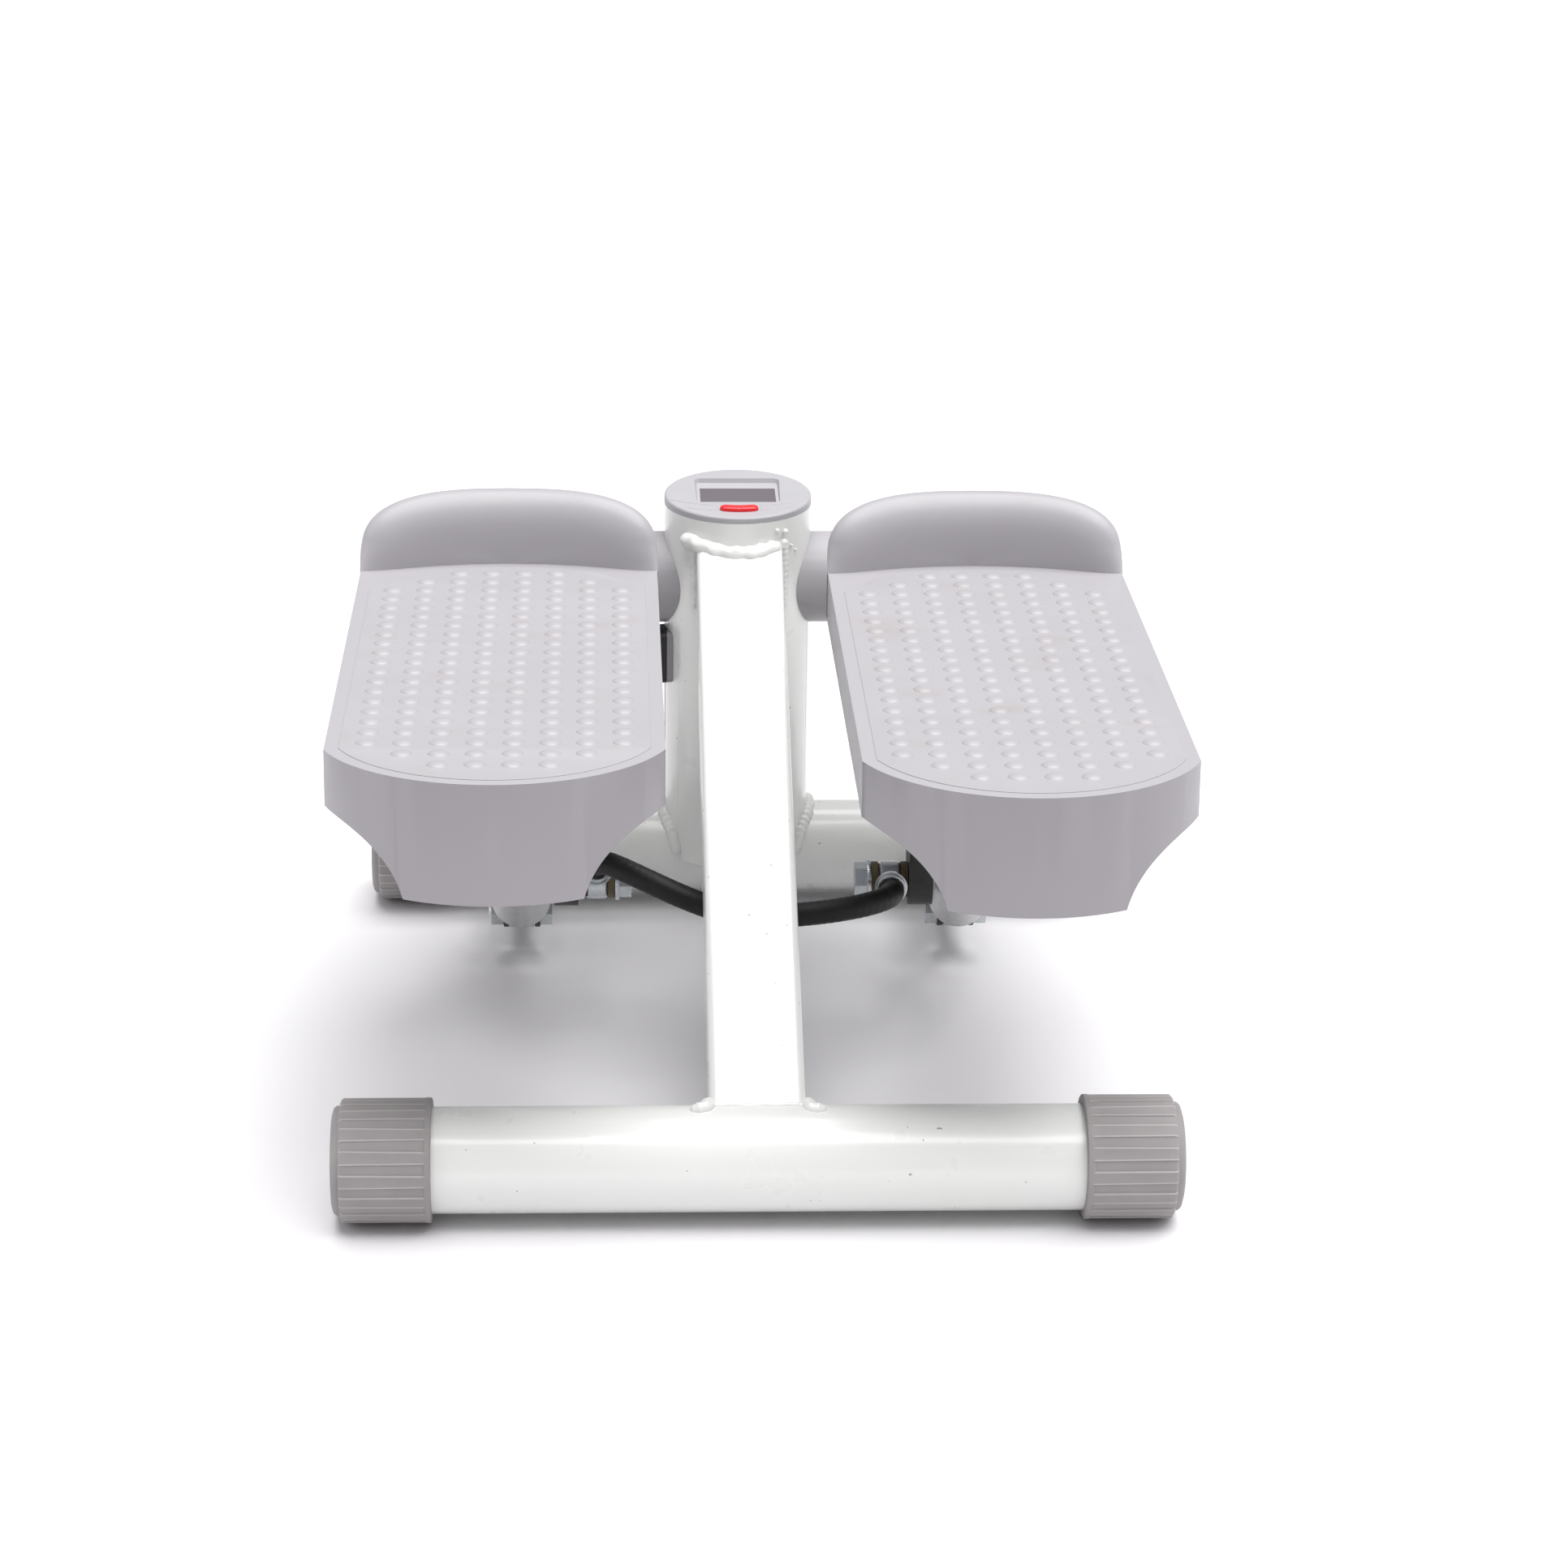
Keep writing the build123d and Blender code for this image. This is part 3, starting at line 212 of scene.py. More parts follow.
def sensor_shell():
    """Black sensor box on a grey foot."""
    plastic = grained("sensor_black", (0.02, 0.02, 0.022), (0.015, 0.015, 0.015), 0.3)
    parts = plastic.node("ShaderNodeSeparateXYZ")
    plastic.link(plastic.coords, parts.inputs["Vector"])
    foot = plastic.ramp(parts.outputs["X"], -0.0319, -0.0316)
    plastic.tint(foot, (0.30, 0.29, 0.30))
    return plastic.finish()


def cap_rubber():
    """Matt rubber with a soft bloom, and a painted highlight along the rib edges."""
    rubber = Shader("cap_rubber", (0.30, 0.285, 0.285), 0.62)
    rubber.tint(rubber.ramp(rubber.noise(0.015, 4.0), 0.45, 0.75, 0.0, 0.6), (0.34, 0.325, 0.322))
    rib_edge_highlight = rubber.node("ShaderNodeAttribute", attribute_name="rib_edge_highlight").outputs["Fac"]
    # Painted highlight: the rib edges are painted paler, as light catching them would make them look.
    rubber.tint(rubber.ramp(rib_edge_highlight, 0.0, 1.0, 0.0, 0.8), (0.50, 0.475, 0.465))
    rubber.bump(rubber.noise(0.0009, 3.0), 0.00003)
    rubber.bump(rubber.noise(0.0025, 2.0, (0.1, 1.0, 1.0)), 0.00005)
    return rubber.finish(Specular_IOR_Level=0.3)


def metal(name, color, roughness, drift, fine=0.0012, stretch=(1, 1, 1)):
    """Plated or turned metal: cloudy plating colour and fine tool marks."""
    steel = Shader(name, color, roughness, metallic=1.0)
    steel.tint(steel.ramp(steel.noise(0.006, 3.0), 0.4, 0.7, 0.0, 0.7), drift)
    steel.roughen(steel.noise(0.003, 4.0), 0.2)
    steel.bump(steel.noise(fine, 2.0, stretch), 0.00002)
    return steel.finish()


def black_paint():
    paint = Shader("black_paint", (0.008, 0.008, 0.009), 0.40)
    paint.tint(paint.ramp(paint.edges(), 0.0, 1.0, 0.0, 0.4), (0.10, 0.10, 0.10))
    paint.roughen(paint.noise(0.01), 0.15)
    paint.bump(paint.noise(0.0015, 2.0), 0.00003)
    return paint.finish()


def rope_rubber():
    rubber = Shader("rope_rubber", (0.006, 0.006, 0.0065), 0.42)
    rubber.tint(rubber.ramp(rubber.noise(0.004, 4.0), 0.55, 0.8, 0.0, 0.5), (0.02, 0.02, 0.021))
    rubber.roughen(rubber.noise(0.003), 0.2)
    rubber.bump(rubber.noise(0.0008, 2.0), 0.00002)
    return rubber.finish(Specular_IOR_Level=0.35)


def lens_glass():
    """Tinted window over the display, smooth with a few fingerprints."""
    glass = Shader("lens_glass", (0.125, 0.105, 0.122), 0.09)
    glass.tint(glass.ramp(glass.noise(0.03, 1.0), 0.4, 0.7, 0.0, 0.5), (0.10, 0.083, 0.10))
    glass.roughen(glass.noise(0.01), 0.08)
    glass.bump(glass.noise(0.004, 1.0), 0.000004)
    return glass.finish(Coat_Weight=0.5, Coat_Roughness=0.05)


def display_dark():
    """Unlit display: dark violet grey, darker in patches."""
    panel = Shader("display_dark", (0.145, 0.125, 0.15), 0.28)
    panel.tint(panel.ramp(panel.noise(0.02, 1.0), 0.4, 0.7, 0.0, 0.5), (0.11, 0.095, 0.115))
    panel.bump(panel.noise(0.0004, 0.0), 0.000004)
    return panel.finish()


def board_green():
    board = Shader("board_green", (0.02, 0.14, 0.06), 0.35)
    tracks = board.ramp(board.noise(0.0015, 0.0, (1.0, 0.2, 1.0)), 0.5, 0.52)
    board.tint(tracks, (0.03, 0.22, 0.09))
    board.bump(tracks, 0.00003)
    return board.finish()


def button_red():
    red = Shader("button_red", (0.80, 0.008, 0.014), 0.22)
    red.tint(red.ramp(red.noise(0.006), 0.45, 0.7, 0.0, 0.4), (0.62, 0.004, 0.010))
    red.roughen(red.noise(0.003), 0.1)
    red.bump(red.noise(0.0008, 1.0), 0.000006)
    return red.finish(Coat_Weight=0.3)


MATERIALS = {
    "white_paint": white_paint(),
    "cap_rubber": cap_rubber(),
    "pedal_plastic": pedal_plastic(),
    "guard_plastic": moulded("guard_plastic", (0.400, 0.386, 0.406), (0.382, 0.368, 0.388), 0.30),
    "pad_plastic": pad_plastic(),
    "black_paint": black_paint(),
    "cover_plastic": moulded("cover_plastic", (0.385, 0.372, 0.392), (0.36, 0.348, 0.368), 0.40),
    "zinc": metal("zinc", (0.62, 0.645, 0.655), 0.20, (0.52, 0.58, 0.63)),
    "barrel_paint": metal("barrel_paint", (0.60, 0.60, 0.60), 0.34, (0.52, 0.52, 0.53), 0.004, (1, 1, 8)),
    "chrome_rod": metal("chrome_rod", (0.80, 0.81, 0.83), 0.10, (0.74, 0.75, 0.78)),
    "nylon": moulded("nylon", (0.82, 0.82, 0.79), (0.76, 0.76, 0.72), 0.45),
    "bush_brown": moulded("bush_brown", (0.10, 0.075, 0.035), (0.06, 0.045, 0.02), 0.45),
    "rope_rubber": rope_rubber(),
    "console_plastic": moulded("console_plastic", (0.415, 0.408, 0.428), (0.395, 0.385, 0.405), 0.36),
    "lens_glass": lens_glass(),
    "lcd": display_dark(),
    "board_green": board_green(),
    "cell_steel": metal("cell_steel", (0.75, 0.75, 0.74), 0.25, (0.68, 0.68, 0.66)),
    "button_red": button_red(),
    "sensor_black": sensor_shell(),
}


# ---- Mesh helpers ----
def dress(obj, slot):
    obj.data.materials.clear()
    obj.data.materials.append(MATERIALS[slot])
    return obj


def soften(obj, width, segments=2, swell=0.0):
    """Rounds sharp edges by modifiers, over a small swell if one is given. Returns the bevel."""
    weld = obj.modifiers.new("weld", "WELD")
    weld.merge_threshold = SAME_PLACE
    if swell:
        grow = obj.modifiers.new("swell", "DISPLACE")
        grow.mid_level = 0.0
        grow.strength = swell
    bevel = obj.modifiers.new("round", "BEVEL")
    bevel.width = width
    bevel.segments = segments
    bevel.limit_method = "ANGLE"
    bevel.angle_limit = SHARP
    normals = obj.modifiers.new("normals", "WEIGHTED_NORMAL")
    normals.keep_sharp = False
    normals.weight = 80
    return bevel


def drop_cad_normals(mesh):
    if "custom_normal" in mesh.attributes:
        mesh.attributes.remove(mesh.attributes["custom_normal"])
    mesh.shade_smooth()


def face_outwards(mesh):
    """Turns every face outwards and keeps hard corners hard."""
    work = bmesh.new()
    work.from_mesh(mesh)
    bmesh.ops.recalc_face_normals(work, faces=work.faces)
    for edge in work.edges:
        edge.smooth = len(edge.link_faces) == 2 and edge.calc_face_angle(0.0) < CREASE
    work.to_mesh(mesh)
    work.free()


def new_piece(name, vertices, faces, slot, body=None):
    """A smooth-shaded mesh object in a slot's material, riding on a body if one is named."""
    mesh = bpy.data.meshes.new(name)
    mesh.from_pydata([tuple(v) for v in vertices], [], faces)
    piece = bpy.data.objects.new(name, mesh)
    bpy.context.scene.collection.objects.link(piece)
    mesh.shade_smooth()
    dress(piece, slot)
    if body:
        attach(piece, body)
    return piece


def tube_mesh(centres, radius_at, sides):
    """Vertices and faces of a closed tube along centres; radius_at takes a ring and an angle."""
    vertices, faces = [], []
    count = len(centres)
    normal = None
    for ring, centre in enumerate(centres):
        ahead = centres[min(ring + 1, count - 1)]
        behind = centres[max(ring - 1, 0)]
        along = (ahead - behind).normalized()
        if normal is None:
            normal = along.orthogonal().normalized()
        normal = (normal - along * normal.dot(along)).normalized()
        other = along.cross(normal)
        for side in range(sides):
            angle = 2 * math.pi * side / sides
            out = math.cos(angle) * normal + math.sin(angle) * other
            vertices.append(centre + radius_at(ring, angle) * out)
    for ring in range(count - 1):
        for side in range(sides):
            a = ring * sides + side
            b = ring * sides + (side + 1) % sides
            faces.append((a, b, b + sides, a + sides))
    faces.append(tuple(reversed(range(sides))))
    faces.append(tuple(range((count - 1) * sides, count * sides)))
    return vertices, faces


def smooth_path(points, steps):
    """Catmull-Rom curve through the points, with that many steps between two of them."""
    points = [Vector(p) for p in points]
    ends = [2 * points[0] - points[1]] + points + [2 * points[-1] - points[-2]]
    path = []
    for i in range(1, len(ends) - 2):
        p0, p1, p2, p3 = ends[i - 1:i + 3]
        for step in range(steps):
            t = step / steps
            path.append(
                0.5 * (2 * p1 + (p2 - p0) * t + (2 * p0 - 5 * p1 + 4 * p2 - p3) * t * t
                       + (3 * p1 - 3 * p2 + p3 - p0) * t ** 3)
            )
    path.append(points[-1])
    return path


# ---- Places taken from the frame ----
def tread_frame(side):
    """Matrix of a tread's own axes: x across, y to the toes, z out, origin at the bump field's middle."""
    pad = NODES[f"tread_pad_{side}"].data
    face = max((p for p in pad.polygons if p.normal.z > 0.9), key=lambda p: p.area)
    up = face.normal.copy()
    across = Vector((1, 0, 0))
    toe = up.cross(across).normalized()
    low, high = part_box(f"tread_pad_{side}")
    corners = [pad.vertices[i].co for p in pad.polygons if p.normal.z > 0.9 for i in p.vertices]
    heel = min(c.dot(toe) for c in corners)
    level = corners[0].dot(up)
    origin = across * (low.x + high.x) / 2 + toe * (heel + HEEL_TO_MIDDLE) + up * level
    return Matrix.Translation(origin) @ Matrix((across, toe, up)).transposed().to_4x4()


def centre(node):
    low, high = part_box(node)
    return (low + high) / 2


# ---- Pedals ----
# Places along a pedal are measured from the middle of its bump field.
HALF_WIDTH = 64.0 * MM
TOE_TIP = 172.0 * MM
TOE_CORNER = 146.0 * MM
HEEL_TIP = 162.3 * MM
HEEL_CORNER = 118.0 * MM
HEEL_TO_MIDDLE = 156.5 * MM    # from the pad's heel edge
GUARD_HEIGHT = 31.0 * MM
GUARD_POWER = 3.5              # squareness of the guard's arch
GUARD_FOOT_TIP = 156.0 * MM    # foot of the guard's inner face on the centre line
GUARD_FOOT_CORNER = 139.0 * MM
GUARD_FLARE = 10.0 * MM        # how far the guard's sides lean out over the toe
FLARE_RISE = 11.0 * MM         # height at which they have leant out fully
GUARD_LEAST = 0.8 * MM         # least thickness
SKIRT_DEPTH = 20.5 * MM        # the guard's outer face carries on down the toe's wall
SKIRT_WALL = 0.7 * MM
PEDAL_ROUNDING = 1.1 * MM
SEAT_ROUNDING = 0.12           # share of it that the edges of the pad's seat get


def arc_y(x, half_chord, chord_y, tip_y):
    """Height over x of the arc through (+-half_chord, chord_y) and (0, tip_y)."""
    rise = tip_y - chord_y
    radius = (half_chord ** 2 + rise ** 2) / (2 * rise)
    return tip_y - radius + math.sqrt(max(radius ** 2 - x ** 2, 0.0))


def in_recess(point):
    """Whether a point in a tread's own axes belongs to the shallow seat of its pad."""
    toe = arc_y(point.x, HALF_WIDTH, TOE_CORNER, TOE_TIP)
    heel = -arc_y(point.x, HALF_WIDTH, HEEL_CORNER, HEEL_TIP)
    margin = 2.5 * MM
    return abs(point.x) < HALF_WIDTH - margin and heel + margin < point.y < toe - margin and point.z > -margin


def pedal_body(side):
    """The moulded pedal without its guard: the CAD shell cut at the tread and softly rounded."""
    tread = tread_frame(side)
    source = NODES[f"pedal_{side}"].data
    work = bmesh.new()
    work.from_mesh(source)
    bmesh.ops.remove_doubles(work, verts=work.verts, dist=SAME_PLACE)
    up = tread.col[2].to_3d()
    cut = tread.translation + up * 0.02 * MM
    everything = work.verts[:] + work.edges[:] + work.faces[:]
    bmesh.ops.bisect_plane(work, geom=everything, plane_co=cut, plane_no=up, clear_outer=True)
    rim = [edge for edge in work.edges if edge.is_boundary]
    bmesh.ops.holes_fill(work, edges=rim, sides=0)
    bmesh.ops.dissolve_limit(work, angle_limit=0.01, verts=work.verts, edges=work.edges)
    to_tread = tread.inverted()
    weights = work.edges.layers.float.new("bevel_weight_edge")
    for edge in work.edges:
        if len(edge.link_faces) != 2 or edge.calc_face_angle(0.0) < SHARP:
            continue
        inside = all(in_recess(to_tread @ vertex.co) for vertex in edge.verts)
        edge[weights] = SEAT_ROUNDING if inside else 1.0
    mesh = bpy.data.meshes.new(f"pedal_body_{side}")
    work.to_mesh(mesh)
    work.free()
    drop_cad_normals(mesh)
    piece = bpy.data.objects.new(f"pedal_body_{side}", mesh)
    bpy.context.scene.collection.objects.link(piece)
    dress(piece, "pedal_plastic")
    soften(piece, PEDAL_ROUNDING, 3).limit_method = "WEIGHT"
    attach(piece, f"{side}_pedal")
    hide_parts(f"pedal_{side}")
    return piece


# Share of the guard's thickness from its inner face, and inset from its outline in mm.
GUARD_STATIONS = (
    (0.0, 21.0), (0.012, 16.5), (0.035, 13.2), (0.07, 10.6), (0.12, 8.3), (0.19, 6.0), (0.28, 3.9),
    (0.38, 2.2), (0.49, 1.0), (0.60, 0.25), (0.71, 0.0), (0.81, 0.5), (0.89, 1.6), (0.95, 3.2),
    (0.985, 5.4), (1.0, 8.5),
)


def toe_guard(side):
    """Thick bulbous guard: arches one inside the other, from the inner face over the ridge to the toe."""
    tread = tread_frame(side)
    steps = 64
    proud = 0.35 * MM
    base = -0.3 * MM
    shrinks = (0.02, 0.35, 0.7)    # rings that close the inner and outer faces
    rings = [(*GUARD_STATIONS[0], shrink) for shrink in shrinks]
    rings += [(*station, 1.0) for station in GUARD_STATIONS]
    rings += [(*GUARD_STATIONS[-1], shrink) for shrink in reversed(shrinks)]
    vertices, faces = [], []

    def depth(x, share, z=0.0):
        flare = GUARD_FLARE * min(1.0, max(0.0, z / FLARE_RISE))
        outer = arc_y(x, HALF_WIDTH + proud, TOE_CORNER + flare, TOE_TIP) + proud
        inner = min(arc_y(x, HALF_WIDTH, GUARD_FOOT_CORNER, GUARD_FOOT_TIP), outer - GUARD_LEAST)
        return inner + (outer - inner) * share

    for share, inset, shrink in rings:
        half = (HALF_WIDTH + proud - inset * MM) * shrink
        height = (GUARD_HEIGHT - inset * MM) * shrink
        for step in range(steps + 1):
            turn = math.pi * step / steps
            x = math.copysign(half * abs(math.cos(turn)) ** (2 / GUARD_POWER), math.cos(turn))
            z = base + (height - base) * max(0.0, math.sin(turn)) ** (2 / GUARD_POWER)
            vertices.append(tread @ Vector((x, depth(x, share, z), z)))
    width = steps + 1
    for ring in range(len(rings) - 1):
        for step in range(steps):
            a = ring * width + step
            faces.append((a, a + 1, a + width + 1, a + width))
    faces.append(tuple(range(width)))
    faces.append(tuple(reversed(range((len(rings) - 1) * width, len(rings) * width))))
    right_ends = [ring * width for ring in range(len(rings))]
    left_ends = [ring * width + steps for ring in range(len(rings))]
    faces.append(tuple(right_ends + left_ends[::-1]))
    skirt = ((0.0, base), (0.0, -SKIRT_DEPTH), (-SKIRT_WALL, -SKIRT_DEPTH), (-SKIRT_WALL, base))
    first = len(vertices)
    for step in range(steps + 1):
        x = (HALF_WIDTH + proud) * math.cos(math.pi * step / steps)
        for inward, z in skirt:
            vertices.append(tread @ Vector((x, depth(x, 1.0) + inward, z)))
    for step in range(steps):
        for k in range(4):
            a = first + 4 * step + k
            b = first + 4 * step + (k + 1) % 4
            faces.append((a, a + 4, b + 4, b))
    faces.append(tuple(first + k for k in range(4)))
    faces.append(tuple(first + 4 * steps + k for k in reversed(range(4))))
    piece = new_piece(f"toe_guard_{side}", vertices, faces, "guard_plastic", f"{side}_pedal")
    face_outwards(piece.data)
    return piece


def tread_bumps(side):
    """Lens-shaped bumps in a grid whose outer columns are shorter."""
    tread = tread_frame(side)
    pitch = 13.82 * MM
    radius = 4.6 * MM
    height = 1.5 * MM
    columns, bump_rows = 8, 21
    spokes, rings = 20, 5
    vertices, faces = [], []
    for column in range(columns):
        short = max(0, 2 - min(column, columns - 1 - column))
        for row in range(short, bump_rows - short):
            x = (column - (columns - 1) / 2) * pitch
            y = (row - (bump_rows - 1) / 2) * pitch
            first = len(vertices)
            vertices.append(tread @ Vector((x, y, height)))
            for ring in range(1, rings + 1):
                out = ring / rings
                z = height * (1 - out ** 2.8)
                for spoke in range(spokes):
                    angle = 2 * math.pi * spoke / spokes
                    place = (x + radius * out * math.cos(angle), y + radius * out * math.sin(angle), z)
                    vertices.append(tread @ Vector(place))
            for spoke in range(spokes):
                angle = 2 * math.pi * spoke / spokes
                place = (x + radius * math.cos(angle), y + radius * math.sin(angle), -0.4 * MM)
                vertices.append(tread @ Vector(place))
            for spoke in range(spokes):
                after = (spoke + 1) % spokes
                faces.append((first, first + 1 + spoke, first + 1 + after))
                for ring in range(rings):
                    a = first + 1 + ring * spokes
                    faces.append((a + spoke, a + spokes + spoke, a + spokes + after, a + after))
            last = first + 1 + rings * spokes
            faces.append(tuple(last + spoke for spoke in reversed(range(spokes))))
    return new_piece(f"tread_bumps_{side}", vertices, faces, "pad_plastic", f"{side}_pedal")


# ---- Rope ----
FERRULE_LIFT = {"left": 40.0, "right": 9.0}    # degrees that each swivelled eye looks up
ROPE_RADIUS = 5.1 * MM
ROPE_SLOPE = 0.08    # of the rope where it passes the pulley, falling from the left half to the right
ROPE_LAY = 3.2 * MM    # pitch of the strands
FERRULE_START, FERRULE_END = 12.5 * MM, 22.0 * MM    # from the middle of the eye
GROOVE_R = 14.2 * MM
GROOVE_RISE = 1.6 * MM    # of the rope in the groove


def rope(side):
    """Half of the rubber-covered rope, with the spiral of its strands showing through."""
    eye = centre(f"rope_bushes_{side}")
    lift = math.radians(FERRULE_LIFT[side])
    out = Vector((0, -math.cos(lift), math.sin(lift)))
    middle = centre("guide_pulley")
    middle.y -= GROOVE_R + ROPE_RADIUS
    middle.z += GROOVE_RISE
    start = eye + out * FERRULE_START
    leave = eye + out * FERRULE_END
    pull = (middle - leave).length
    inward = Vector((-SIDES[side], 0, ROPE_SLOPE * SIDES[side])).normalized()
    centres = [start.lerp(leave, k / 10) for k in range(10)]
    steps = 150
    for k in range(steps + 1):
        t = k / steps
        h00, h10 = 2 * t ** 3 - 3 * t ** 2 + 1, t ** 3 - 2 * t ** 2 + t
        h01, h11 = -2 * t ** 3 + 3 * t ** 2, t ** 3 - t ** 2
        centres.append(h00 * leave + h10 * pull * out + h01 * middle + h11 * pull * inward)
    lengths = [0.0]
    for a, b in zip(centres, centres[1:]):
        lengths.append(lengths[-1] + (b - a).length)

    def radius(ring, angle):
        ridge = abs(math.sin(0.5 * (2 * math.pi * lengths[ring] / ROPE_LAY + angle)))
        fade = 0.35 + 0.65 * math.exp(-lengths[ring] / (26 * MM))
        return ROPE_RADIUS - 0.22 * MM * fade * (1 - ridge) ** 2

    vertices, faces = tube_mesh(centres, radius, sides=40)
    piece = new_piece(f"rope_cover_{side}", vertices, faces, "rope_rubber")
    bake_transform(piece)
    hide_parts(f"rope_{side}")
    return piece


# ---- Weld beads ----
TUBE_R = 21.0 * MM
COLUMN_R = 33.0 * MM
BEAM_DEPTH = 30.0 * MM


def bead(name, points, radius, seed, ripple=0.16, pitch=2.6 * MM):
    """Painted weld bead along the points, with overlapping ripples and an uneven edge."""
    path = smooth_path(points, 10)
    lengths = [0.0]
    for a, b in zip(path, path[1:]):
        lengths.append(lengths[-1] + (b - a).length)
    total = lengths[-1]

    def size(ring, angle):
        end = min(lengths[ring], total - lengths[ring]) / (1.4 * radius)
        taper = math.sqrt(max(0.0, 1 - (1 - min(1.0, end)) ** 2))
        wave = ripple * abs(math.sin(math.pi * lengths[ring] / pitch))
        place = path[ring] * 260 + Vector((seed, math.cos(angle), math.sin(angle)))
        rough = 0.22 * noise.noise(place)
        return radius * max(0.04, taper) * (1 + wave + rough)

    vertices, faces = tube_mesh(path, size, sides=16)
    return new_piece(name, vertices, faces, "white_paint", "frame")


def drops(name, places, seed):
    """Small round weld spatters."""
    vertices, faces = [], []
    for number, (place, size) in enumerate(places):
        ball = bmesh.new()
        bmesh.ops.create_icosphere(ball, subdivisions=3, radius=size)
        first = len(vertices)
        for vertex in ball.verts:
            wobble = 1 + 0.15 * noise.noise(vertex.co * 500 + Vector((seed, number, 0)))
            vertices.append(Vector(place) + vertex.co * wobble)
        faces += [tuple(first + v.index for v in face.verts) for face in ball.faces]
        ball.free()
    return new_piece(name, vertices, faces, "white_paint", "frame")


def beam_planes():
    """Upper face of the beam as height over y, its half width and its slope."""
    low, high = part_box("centre_beam")
    beam = NODES["centre_beam"].data
    length = high.y - low.y

    def height_of(face, y):
        point = beam.vertices[face.vertices[0]].co
        return point.z - (y - point.y) * face.normal.y / face.normal.z

    broad = [face for face in beam.polygons if face.normal.z > 0.5 and face.area > 0.1 * length * high.x]
    top = max(broad, key=lambda face: height_of(face, low.y))
    return (lambda y: height_of(top, y)), high.x, math.atan(-top.normal.y / top.normal.z)


def weld_pieces():
    height_at, half, rise = beam_planes()
    column = centre("upright_column")

    def on_column(x):
        return column.y - math.sqrt(COLUMN_R ** 2 - x ** 2)

    across = []
    for k in range(12):
        x = half * (-1.32 + 2.26 * k / 11)
        y = on_column(x) - 2.4 * MM
        over = max(0.0, abs(x) / half - 1.0)
        across.append((x, y + 3.0 * over * MM, height_at(y) - (0.7 + 5.0 * over) * MM))
    bead("weld_beam_top", across, 3.5 * MM, 3.0, 0.05, 5.2 * MM)
    depth = BEAM_DEPTH / math.cos(rise)
    for side, sign in SIDES.items():
        x = sign * half
        y = on_column(x)
        drop = [(x + sign * 0.8 * MM, y + 0.4 * MM, height_at(y) - depth * k / 6) for k in range(7)]
        bead(f"weld_beam_side_{side}", drop, 1.9 * MM, 7.0 + sign)
    tube = centre("rear_cross_tube")
    for side, sign in SIDES.items():
        points = []
        for k in range(7):
            angle = math.radians(86 - 62 * k / 6)
            spread = sign * (half + (2.2 if k == 0 else 0.8) * MM)
            points.append((spread, tube.y + TUBE_R * math.cos(angle), tube.z + TUBE_R * math.sin(angle)))
        points.insert(0, (sign * (half + 8.0 * MM), tube.y + 0.5 * MM, tube.z + TUBE_R - 0.9 * MM))
        bead(f"weld_beam_foot_{side}", points, 2.6 * MM, 11.0 + sign)
    ridge_y = tube.y + 6.5 * MM
    across = [(half * (1 - 2 * k / 6), ridge_y - 0.4 * MM, height_at(ridge_y) + 0.4 * MM) for k in range(7)]
    bead("weld_beam_heel", across, 1.3 * MM, 17.0)
    front = centre("front_cross_tube")
    for side, sign in SIDES.items():
        points = []
        for k in range(13):
            away = TUBE_R * 0.99 * (1 - k / 6)
            x = sign * math.sqrt(COLUMN_R ** 2 - away ** 2)
            z = front.z + math.sqrt(max(TUBE_R ** 2 - away ** 2, 0.0))
            points.append((x + sign * 0.8 * MM, front.y - away, z + 0.6 * MM))
        bead(f"weld_column_foot_{side}", points, 2.6 * MM, 23.0 + sign)
    top_y = on_column(half)
    high = height_at(top_y)
    splashes = [
        ((half + 1.5 * MM, top_y - 0.5 * MM, high + 3.4 * MM), 1.2 * MM),
        ((half - 2.2 * MM, top_y - 1.8 * MM, high + 4.2 * MM), 1.0 * MM),
        ((half + 4.4 * MM, top_y + 2.6 * MM, high - 4.0 * MM), 0.7 * MM),
        ((half + 6.5 * MM, top_y + 5.2 * MM, high - 7.0 * MM), 0.6 * MM),
        ((-half - 4.6 * MM, top_y + 0.6 * MM, high - 0.6 * MM), 2.7 * MM),
        ((-half - 1.0 * MM, top_y + 0.2 * MM, high - 6.0 * MM), 0.8 * MM),
    ]
    drops("weld_spatter", splashes, 5.0)


# ---- Console trim ----
LINE_RADIUS = 0.4 * MM


def console_trim():
    """Thin raised lines on the sloping face, sweeping from the rim to both ends of the button."""
    housing = NODES["console_housing"].data
    face = max((p for p in housing.polygons if 0.9 < p.normal.z < 0.9999), key=lambda p: p.area)
    on_face = housing.vertices[face.vertices[0]].co
    middle = centre("console_housing")
    # mm: start across, reach across, place towards the toes, then its rise and curl along the line
    sweeps = {"upper": (9.6, 20.6, -16.2, 2.6, 4.6), "lower": (9.6, 13.4, -22.6, 0.4, 3.2)}
    for side, sign in SIDES.items():
        for name, (near, length, offset, rise, curl) in sweeps.items():
            points = []
            for k in range(9):
                t = k / 8
                x = sign * (near + length * t) * MM
                y = middle.y + (offset + rise * t + curl * t * t) * MM
                z = on_face.z - (y - on_face.y) * face.normal.y / face.normal.z
                points.append((x, y, z - 0.12 * MM))
            path = smooth_path(points, 6)
            vertices, faces = tube_mesh(path, lambda ring, angle: LINE_RADIUS, sides=12)
            new_piece(f"console_{name}_line_{side}", vertices, faces, "console_plastic", "frame")


# ---- Foot caps ----
CAP_BANDS = 32    # ribs and the grooves between them


